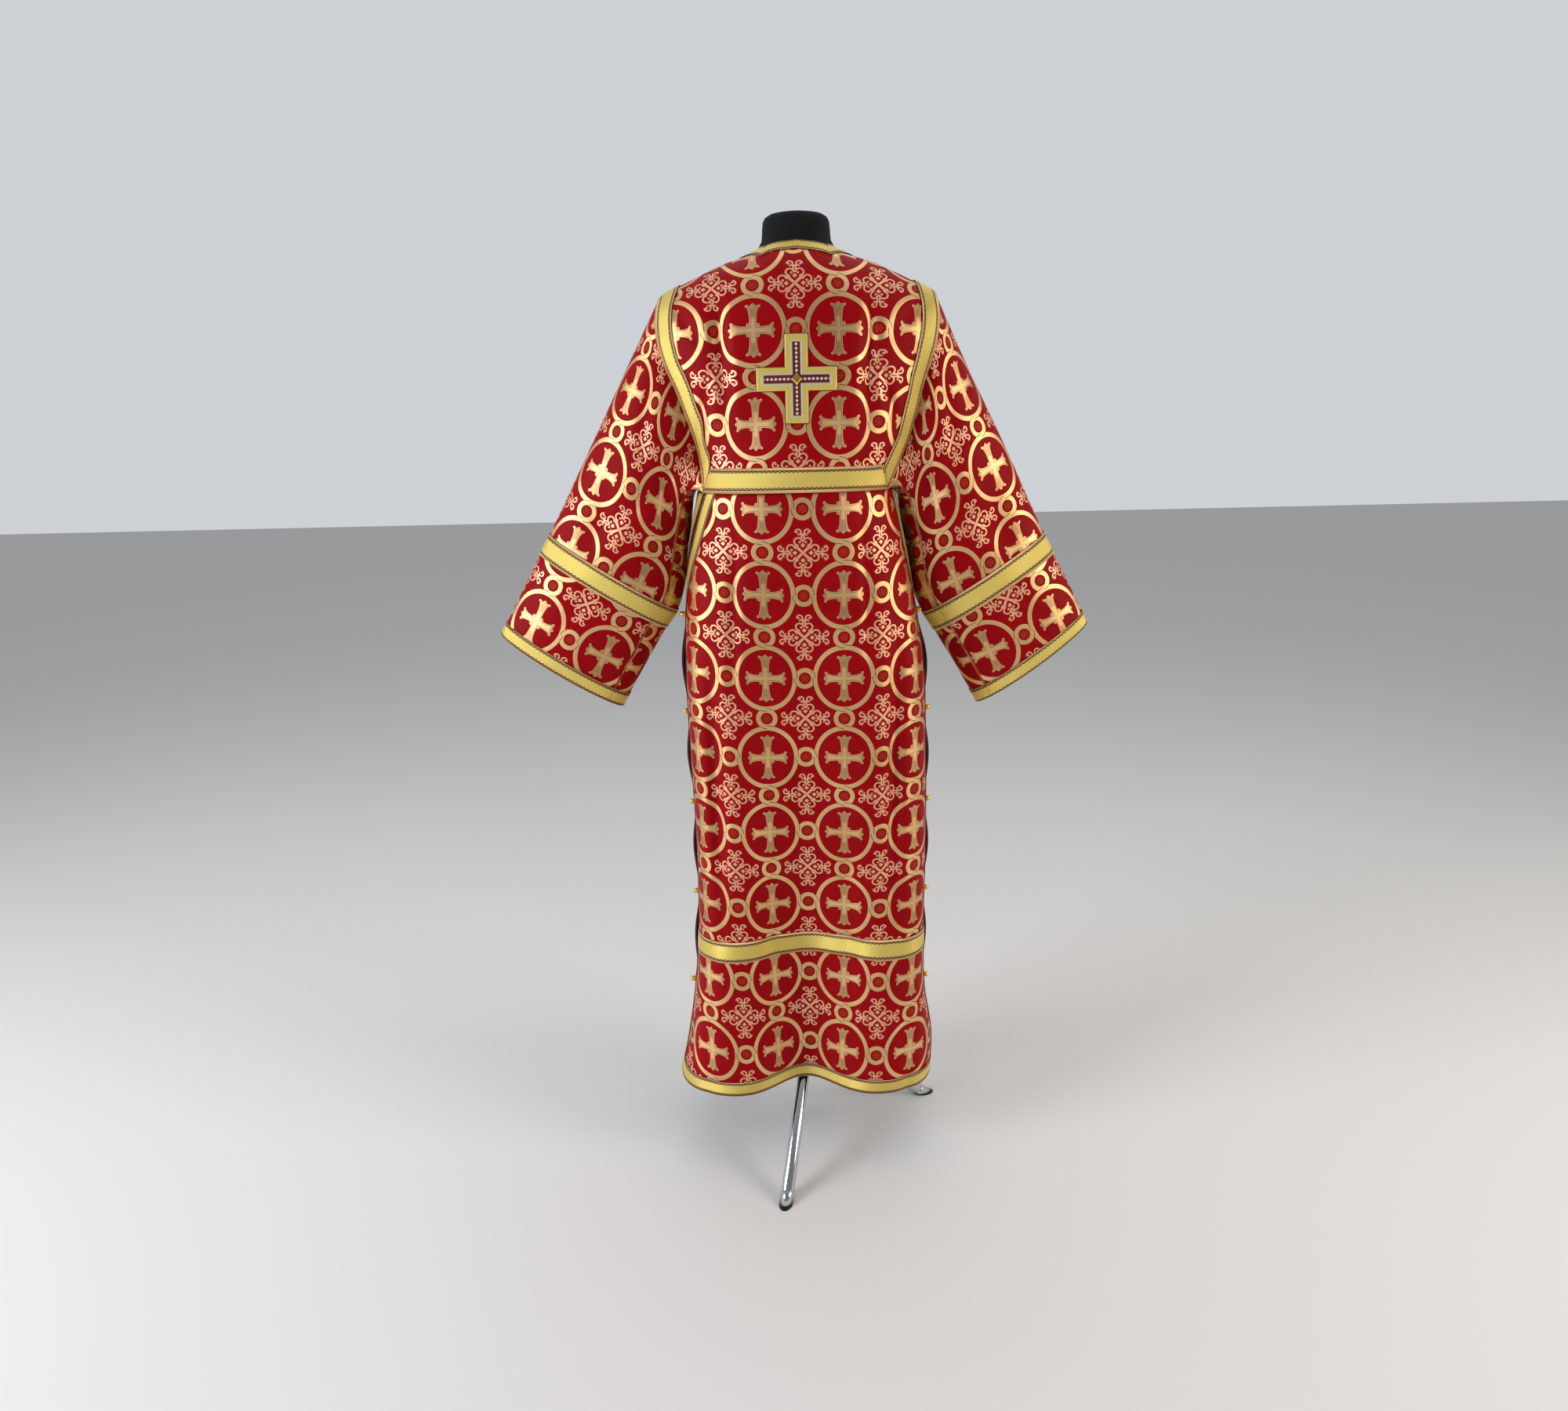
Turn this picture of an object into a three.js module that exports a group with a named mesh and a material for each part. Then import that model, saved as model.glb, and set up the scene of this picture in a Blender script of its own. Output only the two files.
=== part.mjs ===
import * as THREE from 'three';

// A sticharion, a long liturgical tunic, worn by a dress form on a three-legged stand.
// Millimetres, +Z up. The post of the stand is the Z axis until the whole is centred at the
// end; -Y is the wearer's back and +X the wearer's right.

// Cloth and trim
const clothThickness = 2;
const trimThickness = 1.2;
const seamGap = 0.3;
const curveSteps = 60; // samples along a curve when points are spaced by length
const narrowTrim = 25;
const wideTrim = 38;

// Yoke: a saddle over the shoulders, worked out from a ridge line and level sections
const bladeHeight = 1380; // below this the cloth hangs plumb
const backDepth = 118;
const frontDepth = 120;
const bodyPower = 2.5;
const shoulderPower = 0.75;
const sectionEnd = 0.999; // keeps a point off the very end of a level section
const yokeHem = 1181;
const yokeMiddleRings = 7;
const panelColumns = 12; // yoke columns that end on the chest band, back and front
const shoulderColumns = 8; // yoke columns from the chest band's corner to the shoulder tip
const tipHeight = 1480; // where the armhole's edge is read for the shoulder tip
const tipRise = 2; // the edge runs this far past the tip, so that it reaches the ridge
const nearEdge = 0.97; // share of a column that gives its direction at the edge
const leastSlant = 0.76; // limits how far a slanting column lengthens the wide trim
const levelMatch = 0.01;

const shoulderLine = [
  { across: 0, ridge: 1562 },
  { across: 40, ridge: 1555 },
  { across: 58, ridge: 1545 },
  { across: 74, ridge: 1537 },
  { across: 117, ridge: 1523 },
  { across: 167, ridge: 1501 },
  { across: 205, ridge: 1484 },
  { across: 222, ridge: 1472 },
];
const chestSections = [
  { z: 1181, centre: -8, half: 160 },
  { z: 1235, centre: 2, half: 169 },
  { z: 1275, centre: 3, half: 184 },
  { z: 1338, centre: 0, half: 206 },
  { z: 1406, centre: 0, half: 232 },
  { z: 1480, centre: 0, half: 240 },
];
const armholeEdge = [
  { z: 1181, left: -155, right: 137 },
  { z: 1222, left: -158, right: 155 },
  { z: 1258, left: -165, right: 170 },
  { z: 1305, left: -180, right: 184 },
  { z: 1338, left: -192, right: 192 },
  { z: 1371, left: -206, right: 202 },
  { z: 1406, left: -216, right: 212 },
  { z: 1440, left: -219, right: 216 },
  { z: 1480, left: -214, right: 213 },
];
const neckCorners = {
  backLeft: { across: -47, z: 1543 },
  backRight: { across: 43, z: 1543 },
  frontLeft: { across: -48, z: 1520 },
  frontRight: { across: 48, z: 1520 },
};
const neckSide = 66;
const yokeDents = [
  { across: -117, z: 1385, width: 14, height: 75, depth: 9 },
  { across: 104, z: 1380, width: 14, height: 80, depth: 8 },
];

// Skirt panels: level sections, a squared oval with a trough down the middle of each panel
const skirtHem = 145;
const bandTop = 427;
const buttonHeights = [981, 811, 646, 478, 307];
const closedGap = 3; // between the panels' edges at a button
const openGap = 15; // and half way between two buttons
const hemGap = 26;
const openGapPower = 1.5; // how the gap widens from the lowest button to the hem
const edgeBulge = 9;
const bulgeWidth = 32;

// Where the side openings lie, behind the middle of the body: level with it down the skirt,
// drawn towards the back under the arms.
const sideOpenings = [
  { z: 145, left: -15, right: -15 },
  { z: 981, left: -15, right: -15 },
  { z: 1040, left: -28, right: -18 },
  { z: 1100, left: -48, right: -24 },
  { z: 1181, left: -66, right: -30 },
];
const skirtColumns = 18;

const backSkirt = [
  { z: 145, left: 236, right: 219, depth: 147, power: 3.5, trough: 67, at: -9, width: 70 },
  { z: 210, left: 221, right: 221, depth: 142, power: 3.5, trough: 64, at: -7, width: 74 },
  { z: 300, left: 206, right: 208, depth: 134, power: 3.7, trough: 58, at: -4, width: 80 },
  { z: 430, left: 194, right: 205, depth: 126, power: 3.9, trough: 51, at: -2, width: 88 },
  { z: 600, left: 192, right: 207, depth: 123, power: 3.7, trough: 36, at: 0, width: 90 },
  { z: 760, left: 196, right: 205, depth: 122, power: 3.6, trough: 20, at: 0, width: 90 },
  { z: 900, left: 197, right: 200, depth: 121, power: 3.5, trough: 9, at: 0, width: 90 },
  { z: 1000, left: 193, right: 185, depth: 120, power: 3.2, trough: 3, at: 0, width: 90 },
  { z: 1100, left: 183, right: 168, depth: 119, power: 2.8, trough: 0, at: 0, width: 90 },
  { z: 1181, left: 168, right: 152, depth: 118, power: 2.5, trough: 0, at: 0, width: 90 },
];
const frontSkirt = [
  { z: 145, left: 218, right: 212, depth: 152, power: 3.4, trough: 58, at: 14, width: 66 },
  { z: 210, left: 209, right: 210, depth: 147, power: 3.4, trough: 55, at: 12, width: 70 },
  { z: 300, left: 201, right: 205, depth: 139, power: 3.6, trough: 49, at: 10, width: 76 },
  { z: 430, left: 194, right: 205, depth: 131, power: 3.8, trough: 42, at: 8, width: 82 },
  { z: 600, left: 192, right: 207, depth: 126, power: 3.7, trough: 29, at: 4, width: 86 },
  { z: 760, left: 196, right: 205, depth: 124, power: 3.6, trough: 16, at: 2, width: 88 },
  { z: 900, left: 197, right: 200, depth: 122, power: 3.5, trough: 7, at: 0, width: 88 },
  { z: 1000, left: 193, right: 185, depth: 121, power: 3.2, trough: 2, at: 0, width: 88 },
  { z: 1100, left: 183, right: 168, depth: 120, power: 2.8, trough: 0, at: 0, width: 88 },
  { z: 1181, left: 168, right: 152, depth: 120, power: 2.5, trough: 0, at: 0, width: 88 },
];
const backSkirtFolds = [
  { across: -150, width: 15, depth: 12, top: 960, bottom: 420 },
  { across: 146, width: 16, depth: 12, top: 1020, bottom: 400 },
  { across: -62, width: 22, depth: 5, top: 760, bottom: 230 },
];
const frontSkirtFolds = [
  { across: 152, width: 18, depth: 8, top: 940, bottom: 410 },
  { across: -140, width: 18, depth: 7, top: 1000, bottom: 390 },
  { across: 74, width: 22, depth: 5, top: 720, bottom: 240 },
];

// Sleeves: rings from the armhole to the cuff; `along` is measured down the outer edge
const sleeveDepth = 70;
const cuffDepth = 46;
const cornerAngle = 140; // degrees from the shoulder tip round to the chest band's corner
const underarmColumns = 6;
const armholeBlend = 130; // the armhole's own outline fades into an oval over this length
const sleeveLength = 597;
const sleeveBandEnd = 155; // from the cuff to the band's lower edge
const armholeGap = 2 * seamGap; // the sleeve's first ring stays this far off the yoke

const leftSleeve = [
  { along: 0, topX: -221, topZ: 1472, underX: -175, underZ: 1188 },
  { along: 112, topX: -273, topZ: 1375, underX: -178, underZ: 1146 },
  { along: 231, topX: -330, topZ: 1270, underX: -187.5, underZ: 1090 },
  { along: 353, topX: -389, topZ: 1163, underX: -195.5, underZ: 1030 },
  { along: 404, topX: -414, topZ: 1118, underX: -209, underZ: 988 },
  { along: 442, topX: -433, topZ: 1085, underX: -230, underZ: 957 },
  { along: 572, topX: -497, topZ: 973, underX: -298, underZ: 845 },
  { along: 597, topX: -509, topZ: 952, underX: -311, underZ: 823 },
];
const rightSleeve = [
  { along: 0, topX: 220, topZ: 1470, underX: 159, underZ: 1187 },
  { along: 112, topX: 269, topZ: 1367, underX: 162.5, underZ: 1142 },
  { along: 231, topX: 325, topZ: 1258, underX: 175, underZ: 1080 },
  { along: 353, topX: 378, topZ: 1149, underX: 187, underZ: 1010 },
  { along: 404, topX: 400, topZ: 1104, underX: 202, underZ: 975 },
  { along: 442, topX: 418, topZ: 1070, underX: 223, underZ: 942 },
  { along: 572, topX: 470, topZ: 971, underX: 285, underZ: 838 },
  { along: 597, topX: 479, topZ: 951, underX: 297, underZ: 817 },
];
const sleeveFolds = [
  { along: 150, length: 69, angle: -118, spread: 17, depth: 13 },
  { along: 330, length: 81, angle: -62, spread: 14, depth: 7 },
  { along: 190, length: 75, angle: 112, spread: 18, depth: 10 },
];

// Back cross
const crossHeight = 130;
const crossWidth = 122;
const crossArm = 36;
const crossCentre = { across: -5, z: 1348 };
const crossThickness = 2.4;
const crossLift = 0.4; // from the yoke to the back of the cross
const normalStep = 1; // how far off a point its neighbours are read for the cross's normals
const lozengeSize = 16;
const lozengeTaper = 1;
const lozengeThickness = 1.4;
const lozengeLift = 0.5; // clears the cross's curve over the lozenge's width

// Buttons
const buttonRadius = 5;
const buttonSides = 8;
const buttonRings = 6;

// Dress form and stand
const formClearance = 0.45;
const formSeatRings = 6; // the yoke's rings that rest on the form; past them it falls away
const formFallAway = 9;
const formNeck = [
  { z: 1557, half: 54, depth: 54 },
  { z: 1582, half: 52, depth: 51 },
  { z: 1594, half: 44, depth: 43 },
];
const formBody = [
  { z: 1146, half: 135, depth: 98 },
  { z: 1080, half: 130, depth: 90 },
  { z: 1000, half: 140, depth: 94 },
  { z: 900, half: 160, depth: 99 },
  { z: 800, half: 160, depth: 93 },
  { z: 776, half: 152, depth: 86 },
];
const formTop = 1598;
const formBottom = 774;
const postRadius = 12.5;
const hubRadius = 26;
const hubHeight = 62;
const hubTop = 226;
const legRadius = 11;
const legJoin = 185; // height at which a leg's axis meets the hub
const footRadius = 238; // from the post to where a leg's axis meets the floor
const legAngles = [-102, 18, 138];
const capLength = 18;
const capRadius = 11.6;
const postSides = 16;
const legSides = 14;

const material = (color, roughness, metalness) =>
  new THREE.MeshStandardMaterial({ color, roughness, metalness });
const brocade = material('#a81a20', 0.55, 0.1);
const galloon = material('#d9ab3c', 0.45, 0.35);
const crossCloth = material('#c79b3a', 0.45, 0.4);
const goldMetal = material('#e0b64a', 0.25, 1);
const blackJersey = material('#16161a', 0.9, 0);
const chrome = material('#c9ccd0', 0.12, 1);
const blackPlastic = material('#1b1b1d', 0.6, 0);

const garment = new THREE.Group();

function addPiece(name, geometry, finish) {
  const mesh = new THREE.Mesh(geometry, finish);
  mesh.name = name;
  garment.add(mesh);
  return mesh;
}

// Reads a table as a smooth curve: the columns' values at any value of the key column.
function smoothTable(rows, key) {
  const sorted = [...rows].sort((a, b) => a[key] - b[key]);
  const names = Object.keys(sorted[0]);
  const values = sorted.flatMap((row) => names.map((name) => row[name]));
  const curve = new THREE.CubicInterpolant(sorted.map((row) => row[key]), values, names.length);
  return (at) => {
    const result = curve.evaluate(at);
    return Object.fromEntries(names.map((name, i) => [name, result[i]]));
  };
}

const smoothStep = (t) => THREE.MathUtils.smoothstep(t, 0, 1);
const bell = (t) => Math.exp(-t * t);
const signedPower = (value, power) => Math.sign(value) * Math.abs(value) ** power;

// A grid holds rows of points with an outward direction each; a wrapped grid closes on itself.
function makeGrid(points, wrapped, outward) {
  const rows = points.length;
  const columns = points[0].length;
  const normals = points.map((row, r) => row.map((point, c) => {
    const before = wrapped ? row[(c + columns - 1) % columns] : row[Math.max(c - 1, 0)];
    const after = wrapped ? row[(c + 1) % columns] : row[Math.min(c + 1, columns - 1)];
    const above = points[Math.max(r - 1, 0)][c];
    const below = points[Math.min(r + 1, rows - 1)][c];
    const across = new THREE.Vector3().subVectors(after, before);
    const down = new THREE.Vector3().subVectors(below, above);
    const normal = across.cross(down).normalize();
    return normal.multiplyScalar(outward);
  }));
  return { points, normals, wrapped, outward };
}

// Part of a grid, its edges drawn in by a hair so that neighbouring trims stay apart.
function sliceGrid(grid, rowFrom, rowTo, columnFrom, columnTo) {
  const columns = grid.points[0].length;
  const whole = columnFrom === undefined;
  const picked = whole
    ? [...Array(columns).keys()]
    : [...Array(columnTo - columnFrom + 1).keys()].map((i) => (columnFrom + i + columns) % columns);
  const pick = (rows) => rows.slice(rowFrom, rowTo + 1).map((row) => picked.map((c) => row[c].clone()));
  const points = pick(grid.points);
  const normals = pick(grid.normals);
  const drawIn = (edge, next) => {
    const step = new THREE.Vector3().subVectors(next, edge);
    edge.addScaledVector(step.normalize(), seamGap / 2);
  };
  const last = points.length - 1;
  points[0].forEach((point, c) => drawIn(point, points[1][c]));
  points[last].forEach((point, c) => drawIn(point, points[last - 1][c]));
  if (!whole) {
    const end = picked.length - 1;
    points.forEach((row) => {
      drawIn(row[0], row[1]);
      drawIn(row[end], row[end - 1]);
    });
  }
  return { points, normals, wrapped: grid.wrapped && whole, outward: grid.outward };
}

// The closed body between two offsets of a surface: its faces, the same faces turned round on
// the inner side, and a wall along every open edge.
function bodyBetween(points, normals, faces, inner, outer) {
  const positions = [];
  for (const offset of [outer, inner]) {
    points.forEach((point, i) => {
      positions.push(...point.clone().addScaledVector(normals[i], offset).toArray());
    });
  }
  const count = points.length;
  const open = new Map();
  for (const face of faces) {
    for (let i = 0; i < 3; i++) {
      const from = face[i];
      const to = face[(i + 1) % 3];
      if (open.has(`${to}/${from}`)) open.delete(`${to}/${from}`);
      else open.set(`${from}/${to}`, [from, to]);
    }
  }
  const triangles = [...faces];
  for (const [a, b, c] of faces) triangles.push([a + count, c + count, b + count]);
  for (const [from, to] of open.values()) {
    triangles.push([to, from, from + count], [to, from + count, to + count]);
  }
  const geometry = new THREE.BufferGeometry();
  geometry.setAttribute('position', new THREE.Float32BufferAttribute(positions, 3));
  geometry.setIndex(triangles.flat());
  return geometry;
}

function gridFaces(rows, columns, wrapped, outward) {
  const faces = [];
  const spans = wrapped ? columns : columns - 1;
  for (let r = 0; r < rows - 1; r++) {
    for (let c = 0; c < spans; c++) {
      const a = r * columns + c;
      const b = r * columns + ((c + 1) % columns);
      const d = a + columns;
      const e = b + columns;
      if (outward > 0) faces.push([a, b, e], [a, e, d]);
      else faces.push([a, e, b], [a, d, e]);
    }
  }
  return faces;
}

function shell(grid, inner, outer) {
  const rows = grid.points.length;
  const columns = grid.points[0].length;
  const faces = gridFaces(rows, columns, grid.wrapped, grid.outward);
  return bodyBetween(grid.points.flat(), grid.normals.flat(), faces, inner, outer);
}

const clothWall = (grid) => shell(grid, -clothThickness, 0);
const trimOn = (grid) => shell(grid, seamGap, seamGap + trimThickness);

// Points along a curve at given lengths from its start.
function pointsAtLengths(curve, lengths) {
  const samples = [...Array(curveSteps + 1).keys()].map((i) => curve(i / curveSteps).point);
  const run = [0];
  for (let i = 1; i <= curveSteps; i++) run.push(run[i - 1] + samples[i].distanceTo(samples[i - 1]));
  const total = run[curveSteps];
  return lengths(total).map((length) => {
    let i = 1;
    while (i < curveSteps && run[i] < length) i++;
    const share = (length - run[i - 1]) / (run[i] - run[i - 1]);
    return curve((i - 1 + THREE.MathUtils.clamp(share, 0, 1)) / curveSteps);
  });
}

const evenLengths = (count) => (total) =>
  [...Array(count + 1).keys()].map((i) => (total * i) / count);

// --- Yoke ---

const ridgeAt = smoothTable(shoulderLine, 'across');
const chestAt = smoothTable(chestSections, 'z');
const armholeAt = smoothTable(armholeEdge, 'z');

// A point of the saddle. `down` is 0 on the shoulder ridge, 1 where the cloth starts to hang
// plumb, and negative on the front.
function saddlePoint(across, down) {
  const rise = ridgeAt(Math.abs(across)).ridge - bladeHeight;
  const turn = Math.min(Math.abs(down), 1) * Math.PI / 2;
  const plumb = Math.max(Math.abs(down) - 1, 0) * Math.PI / 2;
  const z = bladeHeight + rise * (Math.cos(turn) - plumb);
  const { centre, half } = chestAt(z);
  const share = Math.min(Math.abs(across - centre) / half, sectionEnd);
  const reach = (1 - share ** bodyPower) ** (1 / bodyPower) * Math.sin(turn) ** shoulderPower;
  let y = down > 0 ? -backDepth * reach : frontDepth * reach;
  if (down > 0) {
    for (const dent of yokeDents) {
      const fade = bell((across - dent.across) / dent.width) * bell((z - dent.z) / dent.height);
      y += dent.depth * fade;
    }
  }
  return new THREE.Vector3(across, y, z);
}

function downAt(across, z) {
  const rise = ridgeAt(Math.abs(across)).ridge - bladeHeight;
  const share = (z - bladeHeight) / rise;
  if (share >= 1) return 0;
  return share > 0 ? Math.acos(share) / (Math.PI / 2) : 1 - share / (Math.PI / 2);
}

const onSaddle = (across, down) => ({ across, down, point: saddlePoint(across, down) });

function between(a, b) {
  return (t) => onSaddle(
    THREE.MathUtils.lerp(a.across, b.across, t),
    THREE.MathUtils.lerp(a.down, b.down, t),
  );
}

// The armhole's edge from the chest band's corner up to the shoulder tip.
function armholeCurve(side, face) {
  const tip = shoulderTip(side);
  return (t) => {
    const z = THREE.MathUtils.lerp(yokeHem, tip.point.z + tipRise, t);
    const across = armholeAt(z)[side];
    return onSaddle(across, face * downAt(across, z));
  };
}

function shoulderTip(side) {
  return onSaddle(armholeAt(tipHeight)[side], 0);
}

function neckCorner(name, face) {
  const { across, z } = neckCorners[name];
  return onSaddle(across, face * downAt(across, z));
}

// Inner and outer ends of the yoke's columns, once round from the left shoulder ridge over
// the back, the right shoulder and the front.
function yokeColumns() {
  const columns = [];
  const join = (inner, outer, innerCount) => {
    const from = pointsAtLengths(inner, evenLengths(innerCount));
    const to = pointsAtLengths(outer, evenLengths(innerCount));
    from.slice(0, -1).forEach((start, i) => columns.push({ inner: start, outer: to[i] }));
  };
  const reversed = (curve) => (t) => curve(1 - t);
  const ridge = { left: onSaddle(-neckSide, 0), right: onSaddle(neckSide, 0) };
  const quarter = (cornerName, side, face) => ({
    neck: between(ridge[side], neckCorner(cornerName, face)),
    armhole: reversed(armholeCurve(side, face)),
  });
  const hemLine = (face) => {
    const { left, right } = armholeAt(yokeHem);
    return (t) => {
      const across = THREE.MathUtils.lerp(left, right, t);
      return onSaddle(across, face * downAt(across, yokeHem));
    };
  };
  const backLeft = quarter('backLeft', 'left', 1);
  const backRight = quarter('backRight', 'right', 1);
  const frontRight = quarter('frontRight', 'right', -1);
  const frontLeft = quarter('frontLeft', 'left', -1);
  join(backLeft.neck, backLeft.armhole, shoulderColumns);
  join(between(neckCorner('backLeft', 1), neckCorner('backRight', 1)), hemLine(1), panelColumns);
  join(reversed(backRight.neck), reversed(backRight.armhole), shoulderColumns);
  join(frontRight.neck, frontRight.armhole, shoulderColumns);
  join(
    between(neckCorner('frontRight', -1), neckCorner('frontLeft', -1)),
    reversed(hemLine(-1)),
    panelColumns,
  );
  join(reversed(frontLeft.neck), reversed(frontLeft.armhole), shoulderColumns);
  return columns;
}

const yokeRings = yokeMiddleRings + 2;

function yokeGrid() {
  const columns = yokeColumns();
  const count = columns.length;
  const lines = columns.map(({ inner, outer }, c) => {
    const along = new THREE.Vector3().subVectors(
      columns[(c + 1) % count].outer.point,
      columns[(c + count - 1) % count].outer.point,
    ).normalize();
    const near = between(inner, outer)(nearEdge).point;
    const column = new THREE.Vector3().subVectors(outer.point, near).normalize();
    const slant = Math.max(along.cross(column).length(), leastSlant);
    const lengths = (total) => {
      const stripStart = total - wideTrim / slant;
      const middle = [...Array(yokeMiddleRings + 1).keys()].map(
        (i) => THREE.MathUtils.lerp(narrowTrim, stripStart, i / yokeMiddleRings),
      );
      return [0, ...middle, total];
    };
    return pointsAtLengths(between(inner, outer), lengths).map(({ point }) => point);
  });
  const points = [...Array(yokeRings + 1).keys()].map((r) => lines.map((line) => line[r]));
  const grid = makeGrid(points, true, -1);
  grid.normals[yokeRings].forEach((normal, c) => {
    if (Math.abs(points[yokeRings][c].z - yokeHem) < levelMatch) normal.setZ(0).normalize();
  });
  return grid;
}

const yoke = yokeGrid();
const yokeCount = yoke.points[0].length;
const backLeftCorner = shoulderColumns;
const backRightCorner = backLeftCorner + panelColumns;
const rightRidge = backRightCorner + shoulderColumns;
const frontRightCorner = rightRidge + shoulderColumns;
const frontLeftCorner = frontRightCorner + panelColumns;

function addYoke() {
  addPiece('yoke_back', clothWall(sliceGrid(yoke, 0, yokeRings, 0, rightRidge)), brocade);
  addPiece('yoke_front', clothWall(sliceGrid(yoke, 0, yokeRings, rightRidge, yokeCount)), brocade);
  const spans = [
    { name: 'back', from: backLeftCorner, to: backRightCorner },
    { name: 'right', from: backRightCorner, to: frontRightCorner },
    { name: 'front', from: frontRightCorner, to: frontLeftCorner },
    { name: 'left', from: frontLeftCorner, to: backLeftCorner + yokeCount },
  ];
  for (const { name, from, to } of spans) {
    addPiece(`neck_galloon_${name}`, trimOn(sliceGrid(yoke, 0, 1, from, to)), galloon);
    const outer = sliceGrid(yoke, yokeRings - 1, yokeRings, from, to);
    const outerName = name === 'back' || name === 'front' ? `chest_band_${name}` : `armhole_galloon_${name}`;
    addPiece(outerName, trimOn(outer), galloon);
  }
}

// --- Skirt panels ---

const sideOpeningAt = smoothTable(sideOpenings, 'z');

// Half the gap between the panels' edges: shut at each button, open between them.
function openingAt(z) {
  const shut = closedGap / 2;
  const lowest = buttonHeights[buttonHeights.length - 1];
  if (z < lowest) {
    return shut + (hemGap / 2 - shut) * ((lowest - z) / (lowest - skirtHem)) ** openGapPower;
  }
  const levels = [yokeHem, ...buttonHeights];
  const span = levels.findIndex((level, i) => i > 0 && z >= level - levelMatch);
  const share = (z - levels[span]) / (levels[span - 1] - levels[span]);
  return shut + (openGap / 2 - shut) * Math.sin(Math.PI * THREE.MathUtils.clamp(share, 0, 1)) ** 2;
}

function skirtPoint(table, folds, face, z, angle) {
  const { left, right, depth, power, trough, at, width } = table(z);
  const cos = Math.cos(angle);
  const sin = Math.sin(angle);
  const half = cos < 0 ? left : right;
  let x = half * signedPower(cos, 2 / power);
  const out = signedPower(sin, 2 / power);
  let inward = trough * bell((x - at) / width);
  for (const fold of folds) {
    const share = (z - fold.bottom) / (fold.top - fold.bottom);
    if (share > 0 && share < 1) {
      inward += fold.depth * Math.sin(Math.PI * share) * bell((x - fold.across) / fold.width);
    }
  }
  const y = face * (depth * out - inward * Math.max(out, 0));
  if (face > 0) {
    const gape = (openingAt(z) - closedGap / 2) / (openGap / 2 - closedGap / 2);
    const bulge = z < buttonHeights[0] ? edgeBulge * Math.min(gape, 1) : 0;
    const opening = sideOpeningAt(z)[x < 0 ? 'left' : 'right'];
    x += Math.sign(x) * bulge * bell((y - opening) / bulgeWidth);
  }
  return new THREE.Vector3(x, y, z);
}

// The section's angle where it meets the side opening.
function edgeAngle(table, face, z, side) {
  const { depth, power } = table(z);
  const y = sideOpeningAt(z)[side] + face * openingAt(z);
  return Math.asin(signedPower((face * y) / depth, power / 2));
}

const skirtHeights = [
  yokeHem - seamGap, 1131, 1081, 1031, 981, 939, 897, 855, 811, 770, 729, 687, 646, 604, 562,
  520, 478, bandTop, bandTop - wideTrim, 348, 307, 260, 215, skirtHem + narrowTrim, skirtHem,
];
const bandRow = skirtHeights.indexOf(bandTop);
const hemRow = skirtHeights.length - 2;

function skirtGrid(rows, folds, face) {
  const table = smoothTable(rows, 'z');
  const points = skirtHeights.map((z) => {
    const start = Math.PI - edgeAngle(table, face, z, 'left');
    const end = edgeAngle(table, face, z, 'right');
    const curve = (t) => ({
      point: skirtPoint(table, folds, face, z, THREE.MathUtils.lerp(start, end, t)),
    });
    const lengths = (total) => {
      const middle = [...Array(skirtColumns + 1).keys()].map(
        (i) => THREE.MathUtils.lerp(narrowTrim, total - narrowTrim, i / skirtColumns),
      );
      return [0, ...middle, total];
    };
    return pointsAtLengths(curve, lengths).map(({ point }) => point);
  });
  const grid = makeGrid(points, false, face);
  grid.normals[0].forEach((normal) => normal.setZ(0).normalize());
  return grid;
}

function addSkirt(name, grid) {
  const lastColumn = skirtColumns + 2;
  addPiece(`skirt_${name}`, clothWall(grid), brocade);
  addPiece(
    `skirt_band_${name}`,
    trimOn(sliceGrid(grid, bandRow, bandRow + 1, 1, lastColumn - 1)),
    galloon,
  );
  addPiece(`hem_galloon_${name}`, trimOn(sliceGrid(grid, hemRow, hemRow + 1, 0, lastColumn)), galloon);
  addPiece(`side_galloon_${name}_left`, trimOn(sliceGrid(grid, 0, hemRow, 0, 1)), galloon);
  addPiece(
    `side_galloon_${name}_right`,
    trimOn(sliceGrid(grid, 0, hemRow, lastColumn - 1, lastColumn)),
    galloon,
  );
}

// --- Sleeves ---

const sleeveStations = [
  0, 28, 62, 100, 145, 195, 245, 297, 350,
  sleeveLength - sleeveBandEnd - wideTrim, sleeveLength - sleeveBandEnd,
  507, sleeveLength - narrowTrim, sleeveLength,
];
const sleeveBandRow = 9;

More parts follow.
